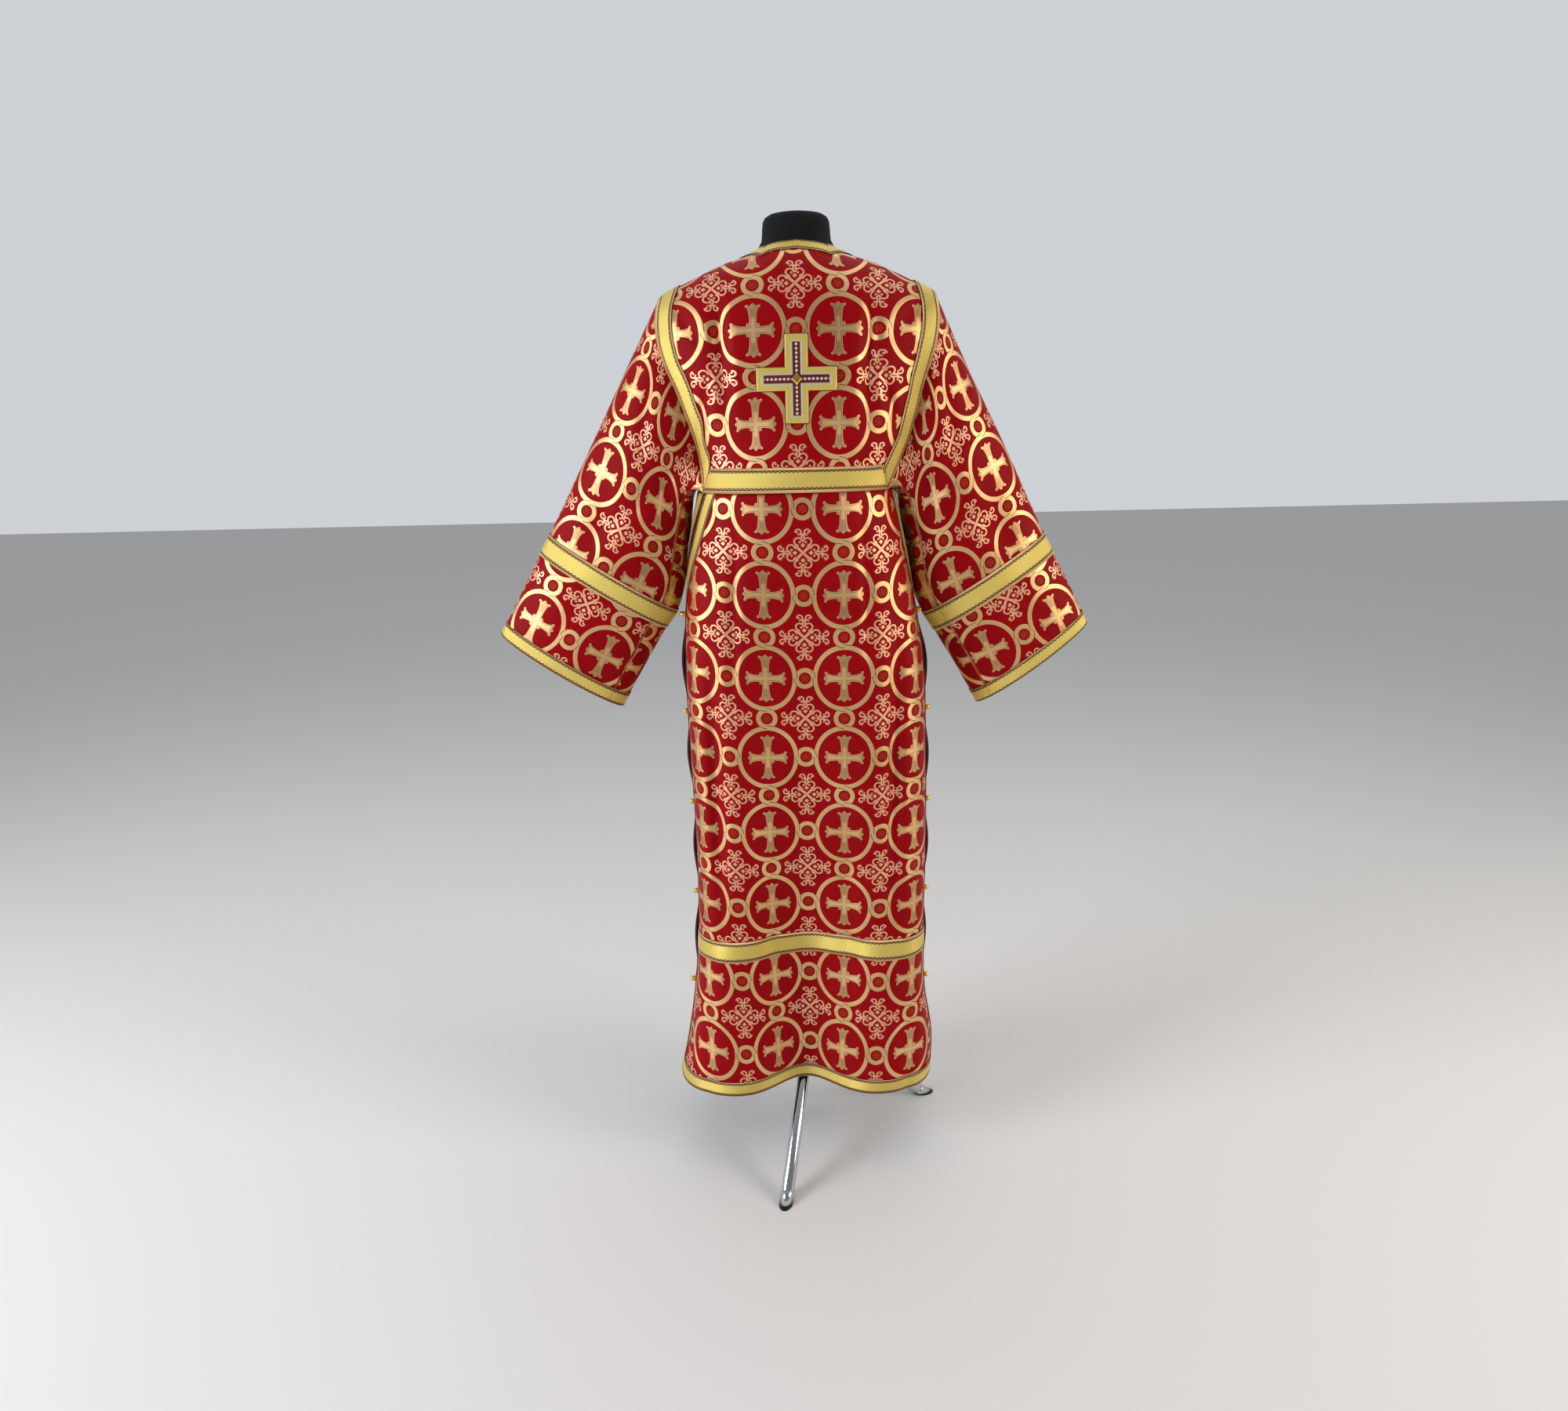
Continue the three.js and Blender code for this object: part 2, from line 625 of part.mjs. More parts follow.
// The armhole loop: the yoke's armhole edge from the back corner over the shoulder to the
// front corner, then the underarm's arc back.
function armholeLoop(rows, side) {
  const first = side === 'left' ? frontLeftCorner : backRightCorner;
  const count = 2 * shoulderColumns;
  const indices = [...Array(count + 1).keys()].map((i) => (first + i) % yokeCount);
  if (side === 'left') indices.reverse();
  const edge = yoke.points[yokeRings];
  const normals = indices.map((i) => yoke.normals[yokeRings][i].clone());
  const points = indices.map((i, k) => {
    const along = new THREE.Vector3().subVectors(
      edge[indices[Math.min(k + 1, count)]],
      edge[indices[Math.max(k - 1, 0)]],
    );
    const away = along.cross(normals[k]).normalize();
    if (away.dot(new THREE.Vector3().subVectors(edge[i], yoke.points[yokeRings - 1][i])) < 0) {
      away.negate();
    }
    return edge[i].clone().addScaledVector(away, armholeGap);
  });
  const back = points[0];
  const front = points[count];
  const { underX, underZ } = rows[0];
  for (let i = 1; i < underarmColumns; i++) {
    const t = i / underarmColumns;
    const lift = Math.sin(Math.PI * t);
    points.push(new THREE.Vector3(
      THREE.MathUtils.lerp(back.x, underX, lift),
      THREE.MathUtils.lerp(front.y, back.y, t),
      THREE.MathUtils.lerp(back.z, underZ, lift),
    ));
    normals.push(null);
  }
  return { points, normals };
}

function sleeveAngles() {
  const upper = [...Array(2 * shoulderColumns + 1).keys()].map(
    (i) => cornerAngle * (i / shoulderColumns - 1),
  );
  const under = [...Array(underarmColumns - 1).keys()].map(
    (i) => cornerAngle + (360 - 2 * cornerAngle) * ((i + 1) / underarmColumns),
  );
  return [...upper, ...under];
}

function sleeveGrid(rows, side) {
  const table = smoothTable(rows, 'along');
  const loop = armholeLoop(rows, side);
  const angles = sleeveAngles();
  const points = sleeveStations.map((along) => {
    const { topX, topZ, underX, underZ } = table(along);
    const top = new THREE.Vector3(topX, 0, topZ);
    const under = new THREE.Vector3(underX, 0, underZ);
    const centre = new THREE.Vector3().addVectors(top, under).multiplyScalar(0.5);
    const half = new THREE.Vector3().subVectors(top, under).multiplyScalar(0.5);
    const depth = THREE.MathUtils.lerp(sleeveDepth, cuffDepth, smoothStep(along / sleeveLength));
    const blend = smoothStep(along / armholeBlend);
    return angles.map((angle, c) => {
      let pinch = 0;
      for (const fold of sleeveFolds) {
        pinch += fold.depth * bell((angle - fold.angle) / fold.spread)
          * bell((along - fold.along) / fold.length);
      }
      const turn = THREE.MathUtils.degToRad(angle);
      const oval = centre.clone().addScaledVector(half, Math.cos(turn));
      oval.y = depth * Math.sin(turn);
      oval.lerp(centre, pinch / Math.max(oval.distanceTo(centre), 1));
      return loop.points[c].clone().lerp(oval, blend);
    });
  });
  const grid = makeGrid(points, true, side === 'left' ? 1 : -1);
  loop.normals.forEach((normal, c) => {
    if (normal) grid.normals[0][c] = normal;
  });
  return grid;
}

function addSleeve(side, rows) {
  const grid = sleeveGrid(rows, side);
  addPiece(`sleeve_${side}`, clothWall(grid), brocade);
  const band = sliceGrid(grid, sleeveBandRow, sleeveBandRow + 1);
  addPiece(`sleeve_band_${side}`, trimOn(band), galloon);
  const last = sleeveStations.length - 1;
  addPiece(`cuff_galloon_${side}`, trimOn(sliceGrid(grid, last - 1, last)), galloon);
}

// --- Back cross ---

// A patch on the yoke's back over the cells of a square lattice that `covers` keeps.
function backPatch(xs, zs, covers, inner, outer) {
  const points = [];
  const normals = [];
  for (const z of zs) {
    for (const x of xs) {
      const at = (dx, dz) => saddlePoint(x + dx, downAt(x + dx, z + dz));
      const across = at(normalStep, 0).sub(at(-normalStep, 0));
      const down = at(0, -normalStep).sub(at(0, normalStep));
      points.push(at(0, 0));
      normals.push(down.cross(across).normalize());
    }
  }
  const used = new Map();
  const faces = [];
  const corner = (index) => {
    if (!used.has(index)) used.set(index, used.size);
    return used.get(index);
  };
  for (let r = 0; r < zs.length - 1; r++) {
    for (let c = 0; c < xs.length - 1; c++) {
      if (!covers((xs[c] + xs[c + 1]) / 2, (zs[r] + zs[r + 1]) / 2)) continue;
      const a = r * xs.length + c;
      const quad = [a, a + 1, a + 1 + xs.length, a + xs.length].map(corner);
      faces.push([quad[0], quad[2], quad[1]], [quad[0], quad[3], quad[2]]);
    }
  }
  const kept = [...used.keys()];
  return bodyBetween(kept.map((i) => points[i]), kept.map((i) => normals[i]), faces, inner, outer);
}

function addCross() {
  const { across, z } = crossCentre;
  const stations = (centre, size) => {
    const end = size / 2;
    const arm = crossArm / 2;
    const mid = (end + arm) / 2;
    return [-end, -mid, -arm, 0, arm, mid, end].map((offset) => centre + offset);
  };
  const xs = stations(across, crossWidth);
  const zs = stations(z, crossHeight).reverse();
  const inArms = (x, height) => Math.abs(x - across) < crossArm / 2 || Math.abs(height - z) < crossArm / 2;
  const face = crossLift + crossThickness;
  addPiece('back_cross', backPatch(xs, zs, inArms, crossLift, face), crossCloth);
  const half = lozengeSize / 2;
  const lozenge = new THREE.CylinderGeometry(half + lozengeTaper, half, lozengeThickness, 4);
  const seat = saddlePoint(across, downAt(across, z));
  const mesh = addPiece('back_cross_centre', lozenge, goldMetal);
  mesh.position.set(seat.x, seat.y - face - lozengeLift - lozengeThickness / 2, seat.z);
}

// --- Buttons ---

function addButtons(back, front) {
  const lastColumn = skirtColumns + 2;
  for (const { side, column, sign } of [
    { side: 'left', column: 0, sign: -1 },
    { side: 'right', column: lastColumn, sign: 1 },
  ]) {
    buttonHeights.forEach((z, i) => {
      const row = skirtHeights.indexOf(z);
      const edges = [back.points[row][column], front.points[row][column]];
      const outermost = Math.max(...edges.map((edge) => Math.abs(edge.x)));
      const trimFace = outermost + seamGap + trimThickness;
      const rise = Math.sqrt(buttonRadius ** 2 - (closedGap / 2) ** 2);
      const ball = new THREE.SphereGeometry(buttonRadius, buttonSides, buttonRings);
      const mesh = addPiece(`button_${side}_${i + 1}`, ball, goldMetal);
      mesh.position.set(sign * (trimFace + rise + seamGap), sideOpeningAt(z)[side], z);
    });
  }
}

// --- Dress form and stand ---

function ovalRing({ z, half, depth }, like) {
  return like.map((point) => {
    const angle = Math.atan2(point.y / depth, point.x / half);
    return new THREE.Vector3(half * Math.cos(angle), depth * Math.sin(angle), z);
  });
}

function addForm() {
  const under = yoke.points.map((row, r) => {
    const fallAway = smoothStep((r - formSeatRings) / (yokeRings - formSeatRings));
    const inset = clothThickness + formClearance + formFallAway * fallAway;
    return row.map((point, c) => point.clone().addScaledVector(yoke.normals[r][c], -inset));
  });
  const rings = [
    ...formNeck.map((row) => ovalRing(row, under[0])).reverse(),
    ...under,
    ...formBody.map((row) => ovalRing(row, under[yokeRings])),
  ];
  const faces = gridFaces(rings.length, yokeCount, true, -1);
  const points = rings.flat();
  const topPole = points.push(new THREE.Vector3(0, 0, formTop)) - 1;
  const bottomPole = points.push(new THREE.Vector3(0, 0, formBottom)) - 1;
  const lastRing = (rings.length - 1) * yokeCount;
  for (let c = 0; c < yokeCount; c++) {
    const next = (c + 1) % yokeCount;
    faces.push([topPole, c, next], [bottomPole, lastRing + next, lastRing + c]);
  }
  const geometry = new THREE.BufferGeometry().setFromPoints(points);
  geometry.setIndex(faces.flat());
  addPiece('form_torso', geometry, blackJersey);
}

function standingCylinder(radius, bottom, top) {
  const geometry = new THREE.CylinderGeometry(radius, radius, top - bottom, postSides);
  geometry.rotateX(Math.PI / 2);
  geometry.translate(0, 0, (top + bottom) / 2);
  return geometry;
}

// A round bar between two ring outlines, its ends closed flat.
function barBetween(rings) {
  const sides = rings[0].length;
  const faces = gridFaces(rings.length, sides, true, -1);
  const points = rings.flat();
  const end = (rings.length - 1) * sides;
  for (let i = 1; i < sides - 1; i++) faces.push([0, i, i + 1], [end, end + i + 1, end + i]);
  const geometry = new THREE.BufferGeometry().setFromPoints(points);
  geometry.setIndex(faces.flat());
  return geometry;
}

// A leg's ring where its surface meets a plane: upright at the hub, level on the floor or
// square to the leg, found by sliding each point along the leg's axis.
function legRing(radius, towards) {
  const start = new THREE.Vector3(0, 0, legJoin);
  const axis = new THREE.Vector3(footRadius, 0, -legJoin).normalize();
  const side = new THREE.Vector3(0, 1, 0);
  const up = new THREE.Vector3().crossVectors(side, axis);
  return [...Array(legSides).keys()].map((i) => {
    const angle = (2 * Math.PI * i) / legSides;
    const point = start.clone()
      .addScaledVector(up, radius * Math.cos(angle))
      .addScaledVector(side, -radius * Math.sin(angle));
    return point.addScaledVector(axis, towards(point, axis));
  });
}

function addStand() {
  const legRun = Math.hypot(footRadius, legJoin);
  addPiece('stand_post', standingCylinder(postRadius, hubTop + seamGap, formBottom - seamGap), chrome);
  addPiece('stand_hub', standingCylinder(hubRadius, hubTop - hubHeight, hubTop), blackPlastic);
  const atHub = (point, axis) => (hubRadius + seamGap - point.x) / axis.x;
  const squareAt = (distance) => () => distance;
  const onFloor = (point, axis) => -point.z / axis.z;
  const capStart = legRun - capLength;
  legAngles.forEach((degrees, i) => {
    const turn = THREE.MathUtils.degToRad(degrees);
    const leg = barBetween([legRing(legRadius, atHub), legRing(legRadius, squareAt(capStart - seamGap))]);
    const cap = barBetween([legRing(capRadius, squareAt(capStart)), legRing(capRadius, onFloor)]);
    addPiece(`stand_leg_${i + 1}`, leg.rotateZ(turn), chrome);
    addPiece(`stand_foot_${i + 1}`, cap.rotateZ(turn), blackPlastic);
  });
}

const back = skirtGrid(backSkirt, backSkirtFolds, -1);
const front = skirtGrid(frontSkirt, frontSkirtFolds, 1);

addYoke();
addSkirt('back', back);
addSkirt('front', front);
addSleeve('left', leftSleeve);
addSleeve('right', rightSleeve);
addCross();
addButtons(back, front);
addForm();
addStand();

// Centre the whole over the origin, with the feet on the floor.
const group = new THREE.Group();
group.add(garment);
group.updateMatrixWorld(true);
const bounds = new THREE.Box3().setFromObject(group);
garment.position.set(-(bounds.min.x + bounds.max.x) / 2, -(bounds.min.y + bounds.max.y) / 2, 0);

export default group;
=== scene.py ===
import math
from functools import partial

import bpy
import numpy as np
from mathutils import Matrix, Vector


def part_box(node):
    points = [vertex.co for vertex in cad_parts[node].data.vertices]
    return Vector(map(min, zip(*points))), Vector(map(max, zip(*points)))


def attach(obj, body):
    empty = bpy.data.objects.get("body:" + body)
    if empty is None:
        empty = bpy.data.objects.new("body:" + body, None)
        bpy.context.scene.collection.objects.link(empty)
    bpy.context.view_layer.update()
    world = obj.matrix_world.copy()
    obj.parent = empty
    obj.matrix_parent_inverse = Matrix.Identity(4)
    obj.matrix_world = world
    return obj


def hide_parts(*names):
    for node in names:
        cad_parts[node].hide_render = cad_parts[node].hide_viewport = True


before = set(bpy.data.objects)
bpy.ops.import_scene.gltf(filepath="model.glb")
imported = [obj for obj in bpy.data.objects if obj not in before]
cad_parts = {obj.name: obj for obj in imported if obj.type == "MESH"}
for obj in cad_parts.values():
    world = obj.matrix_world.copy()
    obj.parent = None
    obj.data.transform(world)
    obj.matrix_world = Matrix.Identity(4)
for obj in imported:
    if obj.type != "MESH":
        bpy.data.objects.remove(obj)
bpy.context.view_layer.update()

# A sticharion, a long liturgical tunic of red and gold brocade, on a dress form with a
# chromed stand. Lengths in the tables are millimetres from the axis of the stand's post;
# -Y is the wearer's back and +X the wearer's right.

postLow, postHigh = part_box("stand_post")
axis = np.array([(postLow.x + postHigh.x) / 2, (postLow.y + postHigh.y) / 2, 0.0])

cloth = {"thickness": 1.7, "seam": 0.3, "trimLift": 0.3, "trimThickness": 1.2,
         "narrowTrim": 25, "wideTrim": 38, "cell": 6.0}


# A table's rows, with the names of its columns given once.
def table(names, *rows):
    return [dict(zip(names.split(), row)) for row in rows]


# Reads a table as a smooth curve through its rows.
def smoothTable(rows, key):
    rows = sorted(rows, key=lambda row: row[key])
    at = np.array([row[key] for row in rows], float)
    curves = {name: np.array([row[name] for row in rows], float) for name in rows[0]}
    last = len(at) - 1

    def evaluate(where):
        where = np.clip(where, at[0], at[-1])
        i = np.clip(np.searchsorted(at, where, side="right"), 1, last)
        before = np.where(i >= 2, i - 2, i)
        after = np.where(i < last, i + 1, i - 1)
        span = at[i] - at[i - 1]
        wBefore = 0.5 * span / (at[i - 1] - at[before])
        wAfter = 0.5 * span / (at[after] - at[i])
        p = (where - at[i - 1]) / span
        s0 = wBefore * (-p**3 + 2 * p**2 - p)
        s1 = (1 + wBefore) * p**3 + (-1.5 - 2 * wBefore) * p**2 + (wBefore - 0.5) * p + 1
        s2 = (-1 - wAfter) * p**3 + (1.5 + wAfter) * p**2 + 0.5 * p
        s3 = wAfter * (p**3 - p**2)
        return {name: s0 * c[before] + s1 * c[i - 1] + s2 * c[i] + s3 * c[after]
                for name, c in curves.items()}

    return evaluate


def bell(t):
    return np.exp(-t * t)


def smoothStep(t):
    t = np.clip(t, 0, 1)
    return t * t * (3 - 2 * t)


def signedPower(value, power):
    return np.sign(value) * abs(value) ** power


# All the breaks, with even steps of about the given size between them.
def fineSteps(breaks, size):
    out = [float(breaks[0])]
    for low, high in zip(breaks, breaks[1:]):
        count = max(1, round(abs(high - low) / size))
        out += [low + (high - low) * (i + 1) / count for i in range(count)]
    return np.array(out)


def runLengths(points):
    steps = np.linalg.norm(np.diff(points, axis=-2), axis=-1)
    zero = np.zeros(steps.shape[:-1] + (1,))
    return np.concatenate([zero, np.cumsum(steps, axis=-1)], axis=-1)


# Outward normals of a grid of points; a wrapped grid closes on itself across its columns.
def gridNormals(points, wrapped, outward):
    if wrapped:
        across = np.roll(points, -1, 1) - np.roll(points, 1, 1)
    else:
        across = np.gradient(points, axis=1)
    down = np.gradient(points, axis=0)
    normals = np.cross(across, down) * outward
    return normals / np.maximum(np.linalg.norm(normals, axis=-1, keepdims=True), 1e-9)


def toRow(points):
    return np.asarray(points).reshape(-1, 3) / 1000 + axis


def meshFrom(name, points, faces, uv=None):
    mesh = bpy.data.meshes.new(name)
    mesh.from_pydata(toRow(points).tolist(), [], [list(map(int, face)) for face in faces])
    if uv is not None:
        layer = mesh.uv_layers.new(name="clothMap")
        loops = np.zeros(len(mesh.loops), np.int32)
        mesh.loops.foreach_get("vertex_index", loops)
        layer.data.foreach_set("uv", (np.asarray(uv)[loops] / 1000).astype(np.float32).ravel())
    mesh.polygons.foreach_set("use_smooth", np.ones(len(mesh.polygons), bool))
    mesh.update()
    piece = bpy.data.objects.new(name, mesh)
    bpy.context.scene.collection.objects.link(piece)
    return piece


# A closed shell between two offsets of a grid, with a wall along each open edge.
def shell(name, grid, inner, outer):
    points, normals, wrapped = grid["points"], grid["normals"], grid["wrapped"]
    rows, columns = points.shape[:2]
    index = np.arange(rows * columns).reshape(rows, columns)
    if wrapped:
        index = np.concatenate([index, index[:, :1]], axis=1)
    quads = np.stack([index[:-1, :-1], index[:-1, 1:], index[1:, 1:], index[1:, :-1]], axis=-1)
    quads = quads.reshape(-1, 4)
    if grid["outward"] < 0:
        quads = quads[:, ::-1]
    count = rows * columns
    rims = [index[0], index[-1][::-1]]
    if not wrapped:
        rims += [index[::-1, 0], index[:, -1]]
    walls = []
    for rim in rims:
        a, b = rim[:-1], rim[1:]
        wall = np.stack([b, a, a + count, b + count], axis=-1)
        walls.append(wall if grid["outward"] > 0 else wall[:, ::-1])
    faces = np.concatenate([quads, quads[:, ::-1] + count, *walls])
    flat, out = points.reshape(-1, 3), normals.reshape(-1, 3)
    body = np.concatenate([flat + out * outer, flat + out * inner])
    uv = grid["uv"].reshape(-1, 2)
    piece = meshFrom(name, body, faces, np.concatenate([uv, uv]))
    reverse = np.arange(len(faces)) >= len(quads)
    piece.data.polygons.foreach_set("material_index", reverse.astype(np.int32))
    return piece


# Part of a grid, its edges drawn in by half a seam.
def slicePart(grid, rowFrom, rowTo, columnFrom=None, columnTo=None):
    whole = columnFrom is None
    count = grid["points"].shape[1]
    columns = np.arange(count) if whole else np.arange(columnFrom, columnTo + 1) % count
    pick = lambda values: values[rowFrom:rowTo + 1][:, columns].copy()
    points = pick(grid["points"])

    def drawIn(edge, following):
        step = following - edge
        size = np.maximum(np.linalg.norm(step, axis=-1, keepdims=True), 1e-9)
        return edge + step / size * cloth["seam"] / 2

    points[0], points[-1] = drawIn(points[0], points[1]), drawIn(points[-1], points[-2])
    if not whole:
        left, right = drawIn(points[:, 0], points[:, 1]), drawIn(points[:, -1], points[:, -2])
        points[:, 0], points[:, -1] = left, right
    return {**grid, "points": points, "normals": pick(grid["normals"]), "uv": pick(grid["uv"]),
            "wrapped": grid["wrapped"] and whole}


# A woven strip on a part of a grid: its map runs along the strip and across it.
def trimOn(name, part, alongRows):
    points = part["points"]
    if alongRows:
        points = points.transpose(1, 0, 2)
    along = runLengths(points.mean(axis=0)[None])[0]
    across = runLengths(points.transpose(1, 0, 2)).mean(axis=0)
    uv = np.stack(np.meshgrid(along, across, indexing="xy"), axis=-1)
    if alongRows:
        uv = uv.transpose(1, 0, 2)
    strip = {**part, "uv": uv}
    lift = cloth["trimLift"]
    return shell(name, strip, lift, lift + cloth["trimThickness"])


# A solid through rings of points, with a flat face on its first and its last ring.
def ringSolid(name, rings, uv=None):
    rings = np.asarray(rings)
    index = np.arange(rings[..., 0].size).reshape(rings.shape[:2])
    following = np.roll(index, -1, 1)
    faces = np.stack([index[:-1], following[:-1], following[1:], index[1:]], axis=-1)
    caps = [index[0][::-1].tolist(), index[-1].tolist()]
    return meshFrom(name, rings.reshape(-1, 3), faces.reshape(-1, 4).tolist() + caps, uv)


# The yoke, a saddle over the shoulders. A place on it is `across` and `down`: `down` is 0 on
# the shoulder ridge, 1 where the cloth starts to hang plumb, and negative in front.
yoke = {
    "blade": 1380, "backDepth": 118, "frontDepth": 120, "bodyPower": 2.5, "shoulderPower": 0.75,
    "hem": 1181, "panelColumns": 12, "shoulderColumns": 8, "neckSide": 66, "rings": 9,
    "columnSplit": 6, "rowStep": 0.17,
    "nearEdge": 0.97,  # where on a column its slant to the armhole is measured
    "leastSlant": 0.76,  # and the least slant that the strip's width allows for
    "ridge": table("across ridge",
        (0, 1562), (40, 1555), (58, 1545), (74, 1537), (117, 1523), (167, 1501), (205, 1484),
        (222, 1472)),
    "chest": table("z centre half",
        (1181, -8, 160), (1235, 2, 169), (1275, 3, 184), (1338, 0, 206), (1406, 0, 232),
        (1480, 0, 240)),
    "armhole": table("z left right",
        (1181, -155, 137), (1222, -158, 155), (1258, -165, 170), (1305, -180, 184),
        (1338, -192, 192), (1371, -206, 202), (1406, -216, 212), (1440, -219, 216),
        (1480, -214, 213)),
    "neck": {("left", 1): (-47, 1543), ("right", 1): (43, 1543),
             ("left", -1): (-48, 1520), ("right", -1): (48, 1520)},
    # face 1 is the back and -1 the front; a crease leans by `lean` across for each unit down
    "creases": table("face across z width height depth lean",
        (1, -117, 1385, 12, 72, 10, -0.05), (1, 104, 1380, 11, 78, 9, 0.04),
        (1, -150, 1300, 8, 66, 4.5, 0.25), (1, 138, 1312, 8, 60, 5, -0.3),
        (1, -70, 1290, 26, 60, 2.5, 0.1), (1, 58, 1275, 22, 55, 2, -0.1),
        (1, 168, 1440, 14, 30, 3, 0.8), (1, -172, 1436, 12, 34, 3, -0.7),
        (-1, -112, 1380, 18, 72, 5, 0), (-1, 118, 1390, 16, 80, 5, 0),
        (-1, 60, 1282, 24, 58, 2.5, -0.1), (-1, -64, 1270, 20, 62, 2, 0.15),
        (-1, 150, 1330, 10, 66, 3, -0.3)),
}
ridgeAt = smoothTable(yoke["ridge"], "across")
chestAt = smoothTable(yoke["chest"], "z")
armholeAt = smoothTable(yoke["armhole"], "z")
quarterTurn = math.pi / 2
columnSplit = yoke["columnSplit"]
ridgeLimit = 0.999  # keeps a point off the very edge of the level section
mapLimit = 0.985  # and a length on the map further off it, where the section turns steep
tipRise = 2  # how far above the shoulder's edge the armhole line ends
lineShares = np.linspace(0, 1, 61)
mapShares = np.linspace(0, 1, 25)


def saddlePoint(across, down, creased=True):
    across, down = np.broadcast_arrays(np.asarray(across, float), np.asarray(down, float))
    rise = ridgeAt(abs(across))["ridge"] - yoke["blade"]
    turn = np.minimum(abs(down), 1) * quarterTurn
    plumb = np.maximum(abs(down) - 1, 0) * quarterTurn
    z = yoke["blade"] + rise * (np.cos(turn) - plumb)
    chest = chestAt(z)
    share = np.minimum(abs(across - chest["centre"]) / chest["half"], ridgeLimit)
    power = yoke["bodyPower"]
    reach = (1 - share**power) ** (1 / power) * np.sin(turn) ** yoke["shoulderPower"]
    y = np.where(down > 0, -yoke["backDepth"], yoke["frontDepth"]) * reach
    if creased:
        for crease in yoke["creases"]:
            slid = across - crease["across"] - crease["lean"] * (z - crease["z"])
            fade = bell(slid / crease["width"]) * bell((z - crease["z"]) / crease["height"])
            y = y + np.where(down * crease["face"] > 0, crease["face"], 0) * crease["depth"] * fade
    return np.stack([across, y, z], axis=-1)


def downAt(across, z):
    rise = ridgeAt(abs(across))["ridge"] - yoke["blade"]
    share = (z - yoke["blade"]) / rise
    curved = np.arccos(np.clip(share, 0, 1)) / quarterTurn
    return np.where(share >= 1, 0, np.where(share > 0, curved, 1 - share / quarterTurn))


def evenlyAlong(curve, shares):
    run = runLengths(saddlePoint(*curve(lineShares)))
    return np.stack(curve(np.interp(np.asarray(shares) * run[-1], run, lineShares)), axis=-1)


def lineBetween(a, b):
    return lambda t: (a[0] + (b[0] - a[0]) * t, a[1] + (b[1] - a[1]) * t)


def armholeLine(side, face):
    top = float(yoke["armhole"][-1]["z"])
    tipZ = saddlePoint(armholeAt(top)[side], 0.0)[2] + tipRise

    def curve(t):
        z = yoke["hem"] + (tipZ - yoke["hem"]) * t
        across = armholeAt(z)[side]
        return across, face * downAt(across, z)

    return curve


def hemLine(face):
    ends = armholeAt(float(yoke["hem"]))

    def curve(t):
        across = ends["left"] + (ends["right"] - ends["left"]) * t
        return across, face * downAt(across, float(yoke["hem"]))

    return curve


def turned(curve):
    return lambda t: curve(1 - t)


# The inner and outer ends of the yoke's columns, once round from the left shoulder ridge
# over the back, the right shoulder and the front.
def yokeColumnEnds():
    ridgePoint = {"left": (-yoke["neckSide"], 0.0), "right": (yoke["neckSide"], 0.0)}
    corner = {}
    for (side, face), (across, z) in yoke["neck"].items():
        corner[side, face] = (float(across), face * float(downAt(float(across), float(z))))
    neckQuarter = lambda side, face: lineBetween(ridgePoint[side], corner[side, face])
    armholeQuarter = lambda side, face: turned(armholeLine(side, face))
    shoulder, panel = yoke["shoulderColumns"], yoke["panelColumns"]
    spans = [
        (neckQuarter("left", 1), armholeQuarter("left", 1), shoulder),
        (lineBetween(corner["left", 1], corner["right", 1]), hemLine(1), panel),
        (turned(neckQuarter("right", 1)), turned(armholeQuarter("right", 1)), shoulder),
        (neckQuarter("right", -1), armholeQuarter("right", -1), shoulder),
        (lineBetween(corner["right", -1], corner["left", -1]), turned(hemLine(-1)), panel),
        (turned(neckQuarter("left", -1)), turned(armholeQuarter("left", -1)), shoulder),
    ]
    inner, outer = [], []
    for innerCurve, outerCurve, count in spans:
        shares = np.arange(count * columnSplit) / (count * columnSplit)
        inner.append(evenlyAlong(innerCurve, shares))
        outer.append(evenlyAlong(outerCurve, shares))
    return np.concatenate(inner), np.concatenate(outer)


# Where each point lies on the flat cloth: across from the middle round the level section,
# and up from the floor over the shoulder, so that the woven pattern keeps its real size.
def saddleMap(across, down, z):
    chest = chestAt(z)
    x = across[..., None] * mapShares
    offset = np.minimum(abs(x - chest["centre"][..., None]) / chest["half"][..., None], mapLimit)
    power = yoke["bodyPower"]
    y = yoke["backDepth"] * (1 - offset**power) ** (1 / power)
    u = np.sign(across) * runLengths(np.stack([x, y], axis=-1))[..., -1]
    sign = np.where(down < 0, -1.0, 1.0)
    bent = np.minimum(abs(down), 1.0)
    climb = sign[..., None] * (1 + (bent[..., None] - 1) * mapShares)
    over = saddlePoint(np.repeat(across[..., None], len(mapShares), -1), climb, False)
    v = np.where(abs(down) < 1, yoke["blade"] + runLengths(over)[..., -1], z)
    # a crease takes cloth in, so the pattern closes up in it
    for crease in yoke["creases"]:
        off = (across - crease["across"] - crease["lean"] * (z - crease["z"])) / crease["width"]
        fade = bell((z - crease["z"]) / crease["height"]) * (down * crease["face"] > 0)
        u = u + crease["depth"] * off * bell(off * 0.7) * fade
    return np.stack([u, v], axis=-1)


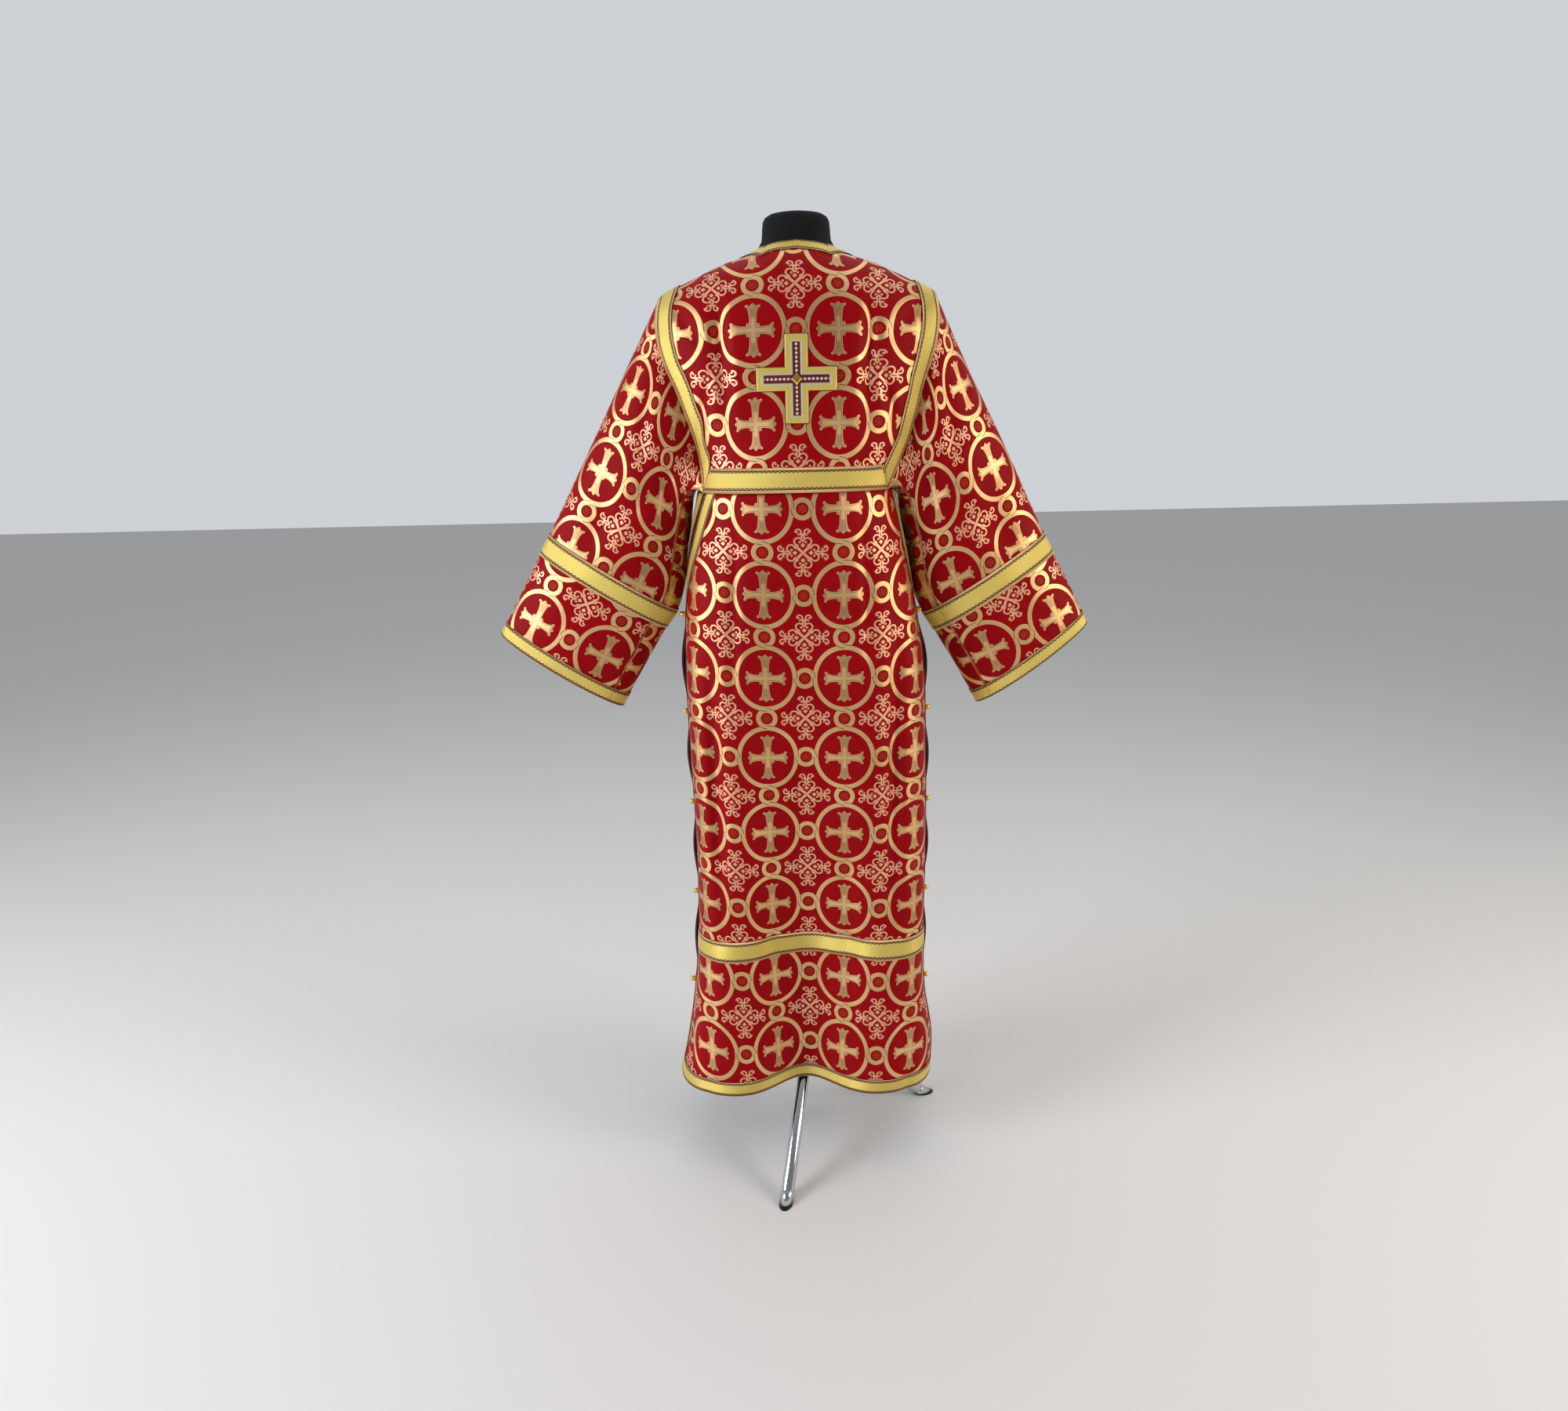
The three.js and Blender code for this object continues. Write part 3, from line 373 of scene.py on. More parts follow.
def makeYoke():
    inner, outer = yokeColumnEnds()
    lines = inner[:, None] + (outer - inner)[:, None] * lineShares[None, :, None]
    run = runLengths(saddlePoint(lines[..., 0], lines[..., 1], False))
    edge = saddlePoint(outer[:, 0], outer[:, 1], False)
    along = np.roll(edge, -1, 0) - np.roll(edge, 1, 0)
    near = inner + (outer - inner) * yoke["nearEdge"]
    column = edge - saddlePoint(near[:, 0], near[:, 1], False)
    size = lambda values: np.linalg.norm(values, axis=1)
    slant = size(np.cross(along, column)) / (size(along) * size(column))
    strip = cloth["wideTrim"] / np.maximum(slant, yoke["leastSlant"])
    stops = [0, 1, yoke["rings"] - 1, yoke["rings"]]
    rows = fineSteps(stops, yoke["rowStep"])
    where = []
    for c in range(len(inner)):
        total = run[c, -1]
        lengths = np.interp(rows, stops, [0, cloth["narrowTrim"], total - strip[c], total])
        t = np.interp(lengths, run[c], lineShares)
        where.append(inner[c] + (outer[c] - inner[c]) * t[:, None])
    where = np.stack(where, axis=1)
    points = saddlePoint(where[..., 0], where[..., 1])
    normals = gridNormals(points, True, -1)
    ridgeRight = (2 * yoke["shoulderColumns"] + yoke["panelColumns"]) * columnSplit
    for ridge in (0, ridgeRight):
        # the columns beside the ridge, where the surface turns over, set its direction
        mean = normals[:, ridge - 3] + normals[:, ridge + 3]
        normals[:, [ridge - 1, ridge, ridge + 1]] = (
            mean / np.linalg.norm(mean, axis=-1, keepdims=True))[:, None]
    level = abs(points[-1, :, 2] - yoke["hem"]) < 0.01
    normals[-1, level, 2] = 0
    normals[-1] /= np.linalg.norm(normals[-1], axis=-1, keepdims=True)
    uv = saddleMap(where[..., 0], where[..., 1], points[..., 2])
    neckRow = int(np.argmin(abs(rows - 1)))
    stripRow = int(np.argmin(abs(rows - (yoke["rings"] - 1))))
    return {"points": points, "normals": normals, "uv": uv, "wrapped": True, "outward": -1,
            "neckRow": neckRow, "stripRow": stripRow, "lastRow": len(rows) - 1, "where": where}


yokeGrid = makeYoke()
# the column at which each side of the yoke starts, from the left shoulder ridge round the back
corners = {}
column = 0
for name, kind in (("backLeft", "shoulder"), ("backRight", "panel"), ("ridgeRight", "shoulder"),
                   ("frontRight", "shoulder"), ("frontLeft", "panel"), ("all", "shoulder")):
    column += yoke[f"{kind}Columns"] * columnSplit
    corners[name] = column

pieces = {}
trims = {}
lastRow = yokeGrid["lastRow"]
for name, start, end in (("back", 0, corners["ridgeRight"]),
                         ("front", corners["ridgeRight"], corners["all"])):
    part = slicePart(yokeGrid, 0, lastRow, start, end)
    pieces[f"yoke_{name}"] = shell(f"brocadeYoke_{name}", part, -cloth["thickness"], 0)
for name, start, end in (
    ("back", corners["backLeft"], corners["backRight"]),
    ("right", corners["backRight"], corners["frontRight"]),
    ("front", corners["frontRight"], corners["frontLeft"]),
    ("left", corners["frontLeft"], corners["backLeft"] + corners["all"]),
):
    part = slicePart(yokeGrid, 0, yokeGrid["neckRow"], start, end)
    trims[f"neck_galloon_{name}"] = trimOn(f"neckTrim_{name}", part, False)
    part = slicePart(yokeGrid, yokeGrid["stripRow"], lastRow, start, end)
    kind = "chest_band" if name in ("back", "front") else "armhole_galloon"
    trims[f"{kind}_{name}"] = trimOn(f"wideTrim_{name}", part, False)
print("yoke made")


# The skirt panels: level sections with soft folds.
skirt = {
    "columns": 20, "columnStep": 0.16, "samples": 401,
    "edgeCrowding": 1.8,  # draws the samples of a level section together at its middle
    "hem": 145, "bandTop": 427, "buttons": [981, 811, 646, 478, 307],
    "closedGap": 3, "openGap": 15, "hemGap": 26, "bulge": 9, "bulgeWidth": 32,
    # where the side openings lie; under the arms they are drawn to the back
    "openings": table("z left right",
        (145, -15, -15), (981, -15, -15), (1040, -28, -18), (1100, -48, -24), (1181, -66, -30)),
    # half widths of the panels; below the band the front one is narrower
    "widths": table("z left right frontLeft frontRight",
        (145, 236, 219, 218, 212), (210, 221, 221, 209, 210), (300, 206, 208, 201, 205),
        (430, 194, 205, 194, 205), (600, 192, 207, 192, 207), (760, 196, 205, 196, 205),
        (900, 197, 200, 197, 200), (1000, 193, 185, 193, 185), (1100, 183, 168, 183, 168),
        (1181, 168, 152, 168, 152)),
}
skirtBack = {
    "face": -1,
    "sections": table("z depth power trough at width",
        (145, 147, 3.5, 67, -9, 70), (210, 142, 3.5, 64, -7, 74), (300, 134, 3.7, 58, -4, 80),
        (430, 126, 3.9, 51, -2, 88), (600, 123, 3.7, 36, 0, 90), (760, 122, 3.6, 20, 0, 90),
        (900, 121, 3.5, 9, 0, 90), (1000, 120, 3.2, 3, 0, 90), (1100, 119, 2.8, 0, 0, 90),
        (1181, 118, 2.5, 0, 0, 90)),
    # main folds first, then small creases; a fold drifts sideways by `drift` from top to bottom
    "folds": table("across width depth top bottom drift",
        (-150, 13, 14, 970, 410, 6), (146, 14, 14, 1030, 390, -8), (-62, 20, 6, 780, 200, 8),
        (70, 17, 5, 710, 150, 12), (-112, 9, 4.5, 1140, 800, -16), (100, 9, 4.5, 1170, 850, 14),
        (20, 24, 2, 1090, 690, -8), (-30, 16, -2, 980, 560, 6), (176, 9, 3, 860, 560, 4),
        (-180, 8, 3, 1100, 900, -4), (-178, 12, 4, 470, 90, -14), (165, 13, 4, 400, 60, 12)),
}
skirtFront = {
    "face": 1,
    "sections": table("z depth power trough at width",
        (145, 152, 3.4, 58, 14, 66), (210, 147, 3.4, 55, 12, 70), (300, 139, 3.6, 49, 10, 76),
        (430, 131, 3.8, 42, 8, 82), (600, 126, 3.7, 29, 4, 86), (760, 124, 3.6, 16, 2, 88),
        (900, 122, 3.5, 7, 0, 88), (1000, 121, 3.2, 2, 0, 88), (1100, 120, 2.8, 0, 0, 88),
        (1181, 120, 2.5, 0, 0, 88)),
    "folds": table("across width depth top bottom drift",
        (152, 18, 8, 940, 410, 0), (-140, 18, 7, 1000, 390, 0), (74, 22, 5, 720, 240, 0),
        (-66, 21, 3.5, 660, 180, -10), (110, 12, 2.5, 1120, 820, 14),
        (-98, 11, 2.5, 1150, 840, -12), (-18, 24, 2, 1080, 700, 8), (172, 12, 4, 430, 80, 12),
        (-172, 12, 4, 450, 70, -12)),
}
widthAt = smoothTable(skirt["widths"], "z")
sideOpeningAt = smoothTable(skirt["openings"], "z")


# Half the gap between the panels' edges: shut at each button, open between them.
def openingAt(z):
    shut, lowest = skirt["closedGap"] / 2, skirt["buttons"][-1]
    below = np.clip((lowest - z) / (lowest - skirt["hem"]), 0, 1)
    levels = np.array([yoke["hem"], *skirt["buttons"]], float)
    span = np.clip(np.searchsorted(-levels, -z, side="left"), 1, len(levels) - 1)
    share = np.clip((z - levels[span]) / (levels[span - 1] - levels[span]), 0, 1)
    gape = (skirt["openGap"] / 2 - shut) * np.sin(np.pi * share) ** 2
    return shut + np.where(z < lowest, (skirt["hemGap"] / 2 - shut) * below**1.5, gape)


def skirtPoint(panel, z, angle):
    face = panel["face"]
    section, width, opening = panel["sectionAt"](z), widthAt(z), sideOpeningAt(z)
    cos, sin = np.cos(angle), np.sin(angle)
    left, right = ("left", "right") if face < 0 else ("frontLeft", "frontRight")
    half = np.where(cos < 0, width[left], width[right])
    x = half * signedPower(cos, 2 / section["power"])
    out = signedPower(sin, 2 / section["power"])
    inward = section["trough"] * bell((x - section["at"]) / section["width"])
    for fold in panel["folds"]:
        share = (z - fold["bottom"]) / (fold["top"] - fold["bottom"])
        swell = np.sin(np.pi * np.clip(share, 0, 1))
        at = fold["across"] + fold["drift"] * (0.5 - share)
        inward = inward + fold["depth"] * swell * bell((x - at) / fold["width"])
    y = face * (section["depth"] * out - inward * np.maximum(out, 0))
    if face > 0:
        shut = skirt["closedGap"] / 2
        gape = np.minimum((openingAt(z) - shut) / (skirt["openGap"] / 2 - shut), 1)
        side = np.where(x < 0, opening["left"], opening["right"])
        bulge = np.where(z < skirt["buttons"][0], skirt["bulge"] * gape, 0)
        x = x + np.sign(x) * bulge * bell((y - side) / skirt["bulgeWidth"])
    return np.stack([x, y, z + 0 * x], axis=-1)


def edgeAngle(panel, z, side):
    section = panel["sectionAt"](z)
    y = sideOpeningAt(z)[side] + panel["face"] * openingAt(z)
    return np.arcsin(signedPower(panel["face"] * y / section["depth"], section["power"] / 2))


def makeSkirt(panel):
    panel["sectionAt"] = smoothTable(panel["sections"], "z")
    band = skirt["bandTop"]
    heights = fineSteps([yoke["hem"] - cloth["seam"], band, band - cloth["wideTrim"],
                         skirt["hem"] + cloth["narrowTrim"], skirt["hem"]], cloth["cell"])
    samples = np.linspace(-1, 1, skirt["samples"])
    start = np.pi - edgeAngle(panel, heights, "left")[:, None]
    end = edgeAngle(panel, heights, "right")[:, None]
    swing = np.where(samples < 0, start - quarterTurn, end - quarterTurn)
    angles = quarterTurn + swing * abs(samples) ** skirt["edgeCrowding"]
    levels = np.repeat(heights[:, None], len(samples), 1)
    run = runLengths(skirtPoint(panel, levels, angles))
    narrow = cloth["narrowTrim"]
    stops = [0, 1, skirt["columns"] - 1, skirt["columns"]]
    columns = fineSteps(stops, skirt["columnStep"])
    picked = []
    for r in range(len(heights)):
        total = run[r, -1]
        lengths = np.interp(columns, stops, [0, narrow, total - narrow, total])
        picked.append(np.interp(lengths, run[r], angles[r]))
    picked = np.array(picked)
    points = skirtPoint(panel, np.repeat(heights[:, None], picked.shape[1], 1), picked)
    fall = runLengths(points.transpose(1, 0, 2)).T
    across = runLengths(points)
    middle = [np.interp(0, row[:, 0], length) for row, length in zip(points, across)]
    uv = np.stack([across - np.array(middle)[:, None], yoke["hem"] - fall], axis=-1)
    normals = gridNormals(points, False, panel["face"])
    normals[0, :, 2] = 0
    normals[0] /= np.linalg.norm(normals[0], axis=-1, keepdims=True)
    row = lambda z: int(np.argmin(abs(heights - z)))
    return {"points": points, "normals": normals, "uv": uv, "wrapped": False,
            "outward": panel["face"], "bandRows": (row(band), row(band - cloth["wideTrim"])),
            "hemRow": row(skirt["hem"] + narrow), "lastRow": len(heights) - 1,
            "trimColumn": int(np.argmin(abs(columns - 1))), "lastColumn": len(columns) - 1}


for name, panel in (("back", skirtBack), ("front", skirtFront)):
    grid = makeSkirt(panel)
    inset, lastColumn = grid["trimColumn"], grid["lastColumn"]
    pieces[f"skirt_{name}"] = shell(f"brocadeSkirt_{name}", grid, -cloth["thickness"], 0)
    part = slicePart(grid, *grid["bandRows"], inset, lastColumn - inset)
    trims[f"skirt_band_{name}"] = trimOn(f"skirtTrim_{name}", part, False)
    part = slicePart(grid, grid["hemRow"], grid["lastRow"], 0, lastColumn)
    trims[f"hem_galloon_{name}"] = trimOn(f"hemTrim_{name}", part, False)
    part = slicePart(grid, 0, grid["hemRow"], 0, inset)
    trims[f"side_galloon_{name}_left"] = trimOn(f"sideTrim_{name}_left", part, True)
    part = slicePart(grid, 0, grid["hemRow"], lastColumn - inset, lastColumn)
    trims[f"side_galloon_{name}_right"] = trimOn(f"sideTrim_{name}_right", part, True)
print("skirt panels made")


# The sleeves: rings from the armhole to the cuff.
sleeve = {
    "depth": 70, "cuffDepth": 46, "cornerAngle": 140, "blend": 130, "length": 597,
    "bandRows": (404, 442), "cuffRow": 572, "underarmColumns": 30,
    "left": table("along topX topZ underX underZ",
        (0, -221, 1472, -175, 1188), (112, -273, 1375, -178, 1146),
        (231, -330, 1270, -187.5, 1090), (353, -389, 1163, -195.5, 1030),
        (404, -414, 1118, -209, 988), (442, -433, 1085, -230, 957), (572, -497, 973, -298, 845),
        (597, -509, 952, -311, 823)),
    "right": table("along topX topZ underX underZ",
        (0, 220, 1470, 159, 1187), (112, 269, 1367, 162.5, 1142), (231, 325, 1258, 175, 1080),
        (353, 378, 1149, 187, 1010), (404, 400, 1104, 202, 975), (442, 418, 1070, 223, 942),
        (572, 470, 971, 285, 838), (597, 479, 951, 297, 817)),
    # three main folds, then creases that run slantwise: `swing` turns one along its length
    "folds": table("along length angle spread depth swing",
        (150, 69, -118, 17, 13, 0), (330, 81, -62, 14, 7, 0), (190, 75, 112, 18, 10, 0),
        (235, 90, -95, 9, 4, 0.22), (120, 60, -70, 10, 4, -0.25), (300, 70, -125, 9, 4, 0.2),
        (480, 60, -80, 12, 2.5, 0.1), (90, 50, 75, 11, 4, 0.2), (260, 80, 95, 9, 4, -0.2),
        (350, 70, 60, 12, 5, 0), (490, 60, 85, 12, 2.5, -0.1)),
}


def makeSleeve(side):
    rowAt = smoothTable(sleeve[side], "along")
    span = 2 * yoke["shoulderColumns"] * columnSplit
    first = corners["frontLeft"] if side == "left" else corners["backRight"]
    indices = (first + np.arange(span + 1)) % corners["all"]
    if side == "left":
        indices = indices[::-1]
    edge, before = yokeGrid["points"][-1, indices], yokeGrid["points"][-2, indices]
    away = edge - before
    away /= np.linalg.norm(away, axis=1, keepdims=True)
    upper = edge + away * 2 * cloth["seam"]
    start = rowAt(0.0)
    t = np.linspace(0, 1, sleeve["underarmColumns"] + 1)[1:-1]
    lift = np.sin(np.pi * t)
    back, front = upper[0], upper[-1]
    under = np.stack([back[0] + (start["underX"] - back[0]) * lift,
                      front[1] + (back[1] - front[1]) * t,
                      back[2] + (start["underZ"] - back[2]) * lift], axis=-1)
    loop = np.concatenate([upper, under])
    corner = sleeve["cornerAngle"]
    angles = np.concatenate([np.linspace(-corner, corner, span + 1),
                             corner + (360 - 2 * corner) * t])
    rows = fineSteps([0, *sleeve["bandRows"], sleeve["cuffRow"], sleeve["length"]], cloth["cell"])
    at = {name: value[:, None] for name, value in rowAt(rows).items()}
    zero = 0 * rows[:, None]
    top = np.stack([at["topX"], zero, at["topZ"]], axis=-1)
    bottom = np.stack([at["underX"], zero, at["underZ"]], axis=-1)
    centre, half = (top + bottom) / 2, (top - bottom) / 2
    turn = np.radians(angles)[None, :, None]
    oval = centre + half * np.cos(turn)
    share = smoothStep(rows / sleeve["length"])[:, None]
    depth = sleeve["depth"] + (sleeve["cuffDepth"] - sleeve["depth"]) * share
    oval[..., 1] = depth * np.sin(turn[..., 0])
    pinch = np.zeros(oval.shape[:2])
    for fold in sleeve["folds"]:
        place = rows[:, None] - fold["along"]
        turnOff = angles[None] - fold["angle"] - fold["swing"] * place
        pinch += fold["depth"] * bell(turnOff / fold["spread"]) * bell(place / fold["length"])
    radius = np.maximum(np.linalg.norm(oval - centre, axis=-1), 1)
    oval += (centre - oval) * (pinch / radius)[..., None]
    blend = smoothStep(rows / sleeve["blend"])[:, None, None]
    points = loop[None] + (oval - loop[None]) * blend
    outward = 1 if side == "left" else -1
    normals = gridNormals(points, True, outward)
    normals[0, :len(indices)] = yokeGrid["normals"][-1, indices]
    # the pattern runs down the sleeve: one map axis along the outer edge, one round the arm
    shoulder, cuff = top[0, 0], top[-1, 0]
    direction = (cuff - shoulder) / np.linalg.norm(cuff - shoulder)
    v = -(points - shoulder).dot(direction)
    girth = runLengths(np.concatenate([points, points[:, :1]], axis=1))[:, :-1]
    middle = span // 2
    u = (girth - girth[:, middle:middle + 1]) * outward
    grid = {"points": points, "normals": normals, "uv": np.stack([u, v], axis=-1),
            "wrapped": True, "outward": outward}
    row = lambda along: int(np.argmin(abs(rows - along)))
    bands = (row(sleeve["bandRows"][0]), row(sleeve["bandRows"][1]))
    pieces[f"sleeve_{side}"] = shell(f"brocadeSleeve_{side}", grid, -cloth["thickness"], 0)
    trims[f"sleeve_band_{side}"] = trimOn(f"sleeveTrim_{side}", slicePart(grid, *bands), False)
    cuffPart = slicePart(grid, row(sleeve["cuffRow"]), len(rows) - 1)
    trims[f"cuff_galloon_{side}"] = trimOn(f"cuffTrim_{side}", cuffPart, False)


makeSleeve("left")
makeSleeve("right")
print("sleeves made")


# The dress form: its shoulders follow the yoke's underside, then it falls away from the cloth.
form = {
    "mapRadius": 55, "clearance": 0.6, "fallAway": 9, "seatShare": 6 / 9,
    "neck": table("z half depth",
        (1598, 4, 4), (1597.6, 16, 16), (1596.5, 30, 29), (1594, 42, 41), (1590, 48.5, 47),
        (1584, 51.5, 50.5), (1574, 52.5, 52), (1565, 53, 53), (1557, 54, 54)),
    "body": table("z half depth",
        (1146, 135, 98), (1110, 132, 93), (1080, 130, 90), (1000, 140, 94), (900, 160, 99),
        (800, 160, 93), (784, 158, 91), (777, 152, 86), (774, 143, 78), (774, 10, 6)),
}


def makeForm():
    rows = np.arange(0, yokeGrid["lastRow"] + 1, 2)
    share = rows / yokeGrid["lastRow"]
    where = yokeGrid["where"][rows]
    plain = saddlePoint(where[..., 0], where[..., 1], True)
    fall = smoothStep((share - form["seatShare"]) / (1 - form["seatShare"]))
    inset = cloth["thickness"] + form["clearance"] + form["fallAway"] * fall
    under = plain - yokeGrid["normals"][rows] * inset[:, None, None]

    def ovals(table, like):
        rings = []
        for row in table:
            turn = np.arctan2(like[:, 1] / row["depth"], like[:, 0] / row["half"])
            rings.append(np.stack([row["half"] * np.cos(turn), row["depth"] * np.sin(turn),
                                   np.full(len(turn), float(row["z"]))], axis=-1))
        return np.array(rings)

    rings = np.concatenate([ovals(form["neck"], under[0]), under, ovals(form["body"], under[-1])])
    rings = rings[::-1]
    u = np.arctan2(rings[..., 0], -rings[..., 1]) * form["mapRadius"]
    return ringSolid("jerseyForm", rings, np.stack([u, rings[..., 2]], -1).reshape(-1, 2))


pieces["form_torso"] = makeForm()
print("dress form made")


# The applied cross on the yoke's back: its section steps up from a thin edge to the border
# and down again inside the piping. A faceted lozenge sits at its middle.
crossPatch = {
    "height": 130, "width": 122, "arm": 36, "centre": (-5, 1348), "base": 0.4, "cell": 1.5,
    "edge": 0.9, "edgeEase": 2, "border": 2.1, "piping": 0.6, "pipingAt": 10.6,
    "pipingHalf": 0.9, "middleDrop": 0.5, "middleEase": 1.5,
}
lozenge = {"base": 3.1, "half": 8, "wall": 0.6, "bevel": (0.5, 0.3), "topHalf": 5.4, "height": 1.6}
crossArm, crossHalfX, crossHalfZ = (crossPatch[name] / 2 for name in ("arm", "width", "height"))


def saddleFrame(x, z):
    at = lambda dx, dz: saddlePoint(x + dx, downAt(x + dx, z + dz))
    normals = np.cross(at(0, -1) - at(0, 1), at(1, 0) - at(-1, 0))
    return at(0, 0), normals / np.linalg.norm(normals, axis=-1, keepdims=True)


def makeCross():
    arm, halfX, halfZ = crossArm, crossHalfX, crossHalfZ
    xs = fineSteps([-halfX, -arm, arm, halfX], crossPatch["cell"])
    zs = fineSteps([halfZ, arm, -arm, -halfZ], crossPatch["cell"])
    x, z = np.meshgrid(xs, zs)
    points, normals = saddleFrame(x + crossPatch["centre"][0], z + crossPatch["centre"][1])
    inset = np.maximum(np.minimum(arm - abs(x), halfZ - abs(z)),
                       np.minimum(halfX - abs(x), arm - abs(z)))
    inset = np.maximum(inset, 0)
    step = crossPatch["border"] - crossPatch["edge"]
    profile = crossPatch["edge"] + step * smoothStep(inset / crossPatch["edgeEase"])
    fromPiping = inset - crossPatch["pipingAt"]
    profile += crossPatch["piping"] * bell(fromPiping / crossPatch["pipingHalf"])
    profile -= crossPatch["middleDrop"] * smoothStep(fromPiping / crossPatch["middleEase"])
    cellX, cellZ = np.meshgrid((xs[1:] + xs[:-1]) / 2, (zs[1:] + zs[:-1]) / 2)
    kept = (abs(cellX) < arm) | (abs(cellZ) < arm)
    index = np.arange(x.size).reshape(x.shape)
    quads = np.stack([index[:-1, :-1], index[1:, :-1], index[1:, 1:], index[:-1, 1:]], -1)[kept]
    used, flat = np.unique(quads, return_inverse=True)
    quads = flat.reshape(-1, 4)
    count = len(used)
    base = crossPatch["base"]
    surface, out = points.reshape(-1, 3)[used], normals.reshape(-1, 3)[used]
    body = np.concatenate([surface + out * (base + profile.reshape(-1)[used])[:, None],
                           surface + out * base])
    sides = np.stack([quads, np.roll(quads, -1, 1)], -1).reshape(-1, 2)
    edges = {tuple(edge) for edge in sides.tolist()}
    rim = [(a, b) for a, b in edges if (b, a) not in edges]
    walls = [(b, a, a + count, b + count) for a, b in rim]
    faces = quads.tolist() + (quads[:, ::-1] + count).tolist() + walls
    uv = np.stack([x, z], -1).reshape(-1, 2)[used]
    return meshFrom("crossPatch", body, faces, np.concatenate([uv, uv]))


def makeLozenge():
    seat, _ = saddleFrame(*map(float, crossPatch["centre"]))
    half, wall, bevel = lozenge["half"], lozenge["wall"], lozenge["bevel"]
    levels = [(half, 0.0), (half, wall), (half - bevel[0], wall + bevel[1]),
              (lozenge["topHalf"], lozenge["height"])]
    rings = [[(seat[0] + dx * size, seat[1] - lozenge["base"] - rise, seat[2] + dz * size)
              for dx, dz in ((1, 0), (0, -1), (-1, 0), (0, 1))] for size, rise in levels]
    gem = ringSolid("crossGem", rings)
    gem.data.polygons.foreach_set("use_smooth", np.zeros(len(gem.data.polygons), bool))
    return gem


pieces["back_cross"] = makeCross()
pieces["back_cross_centre"] = makeLozenge()
print("cross made")


# Ball buttons, each two pressed halves with a seam between them, on a short shank. The rings
# of a ball stop short of its poles, by the angles under "polesOff".
button = {"radius": 5.0, "seam": 0.18, "seamHalf": 0.06, "shank": 1.0, "shankLength": 5.0,
          "polesOff": (0.2, 0.02), "rings": 26}
# each loop runs round its shank and back to the front panel's edge
buttonLoop = {"round": 4.1, "turn": 0.8 * math.pi, "steps": 22, "cord": 0.75, "sides": 10,
              "reach": 14.0, "tail": 4, "tailHalf": (1.1, 1.0), "sink": 0.1, "height": 1.1}


def buttonPlace(node):
    low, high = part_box(node)
    centre = np.array((low + high) / 2) * 1000 - axis * 1000
    return centre, 1.0 if centre[0] > 0 else -1.0


# A solid turned about an axis: `profile` has the radius and the distance along the axis.
def turnedSolid(name, origin, direction, profile, sides=40):
    direction = np.asarray(direction, float)
    side = np.cross(direction, [0.0, 0.0, 1.0] if abs(direction[2]) < 0.9 else [1.0, 0.0, 0.0])
    side /= np.linalg.norm(side)
    turn = np.linspace(0, 2 * np.pi, sides, endpoint=False)
    circle = np.outer(np.cos(turn), side) + np.outer(np.sin(turn), np.cross(direction, side))
    return ringSolid(name, [np.asarray(origin) + direction * rise + circle * radius
                            for radius, rise in profile])


def makeButton(node):
    centre, sign = buttonPlace(node)
    radius, (lowOff, highOff) = button["radius"], button["polesOff"]
    polar = np.linspace(lowOff - quarterTurn, quarterTurn - highOff, button["rings"])
    ball = [(radius * np.cos(a) - button["seam"] * bell(a / button["seamHalf"]), radius * np.sin(a))
            for a in polar]
    shank = [(button["shank"], -radius - button["shankLength"]), (button["shank"], ball[0][1])]
    return turnedSolid(f"ball_{node}", centre, (sign, 0, 0), shank + ball)


buttonNodes = [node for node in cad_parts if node.startswith("button_")]
for node in buttonNodes:
    pieces[node] = makeButton(node)
print("buttons made")


# The dress form's stand: a post in a moulded hub, with three tubes for legs.
stand = {"postRadius": 12.5, "hubRadius": 26, "hubTop": 226, "hubHeight": 62, "formBottom": 774,
         "legRadius": 11, "legJoin": 185, "footRadius": 238, "legAngles": (-102, 18, 138),
         "capLength": 18, "capRadius": 11.6, "gap": 0.3, "legSides": 40, "hubSides": 64}


# Rings round a leg, each with its radius and its place: a distance along it, or a cut end.
def legRings(stations, degrees):
    start = np.array([0.0, 0.0, stand["legJoin"]])
    run = np.array([stand["footRadius"], 0.0, -stand["legJoin"]])
    run /= np.linalg.norm(run)
    side = np.array([0.0, 1.0, 0.0])
    turn = np.linspace(0, 2 * np.pi, stand["legSides"], endpoint=False)
    circle = np.outer(np.cos(turn), np.cross(side, run)) + np.outer(np.sin(turn), side)
    spin = Matrix.Rotation(math.radians(degrees), 3, "Z")
    rings = []
    for radius, place in stations:
        ring = start + radius * circle
        if place == "hub":
            slide = (stand["hubRadius"] + stand["gap"] - ring[:, 0]) / run[0]
        elif place == "floor":
            slide = -ring[:, 2] / run[2]
        else:
            slide = np.full(len(ring), float(place))
        rings.append((ring + slide[:, None] * run) @ np.array(spin).T)
    return rings


legRadius, capRadius = stand["legRadius"], stand["capRadius"]
capStart = math.hypot(stand["footRadius"], stand["legJoin"]) - stand["capLength"]
legStations = [(legRadius, "hub"), (legRadius, 60), (legRadius, 150), (legRadius, capStart - 1.2),
               (legRadius - 0.5, capStart - 0.4)]
capStations = [(capRadius - 1.0, capStart), (capRadius - 0.2, capStart + 0.5),
               (capRadius, capStart + 1.6), (capRadius, "floor")]
for i, degrees in enumerate(stand["legAngles"], 1):
    pieces[f"stand_leg_{i}"] = ringSolid(f"leg_{i}", legRings(legStations, degrees))
    pieces[f"stand_foot_{i}"] = ringSolid(f"foot_{i}", legRings(capStations, degrees))
hubTop, hubRadius, postRadius = stand["hubTop"], stand["hubRadius"], stand["postRadius"]
hubBottom = hubTop - stand["hubHeight"]
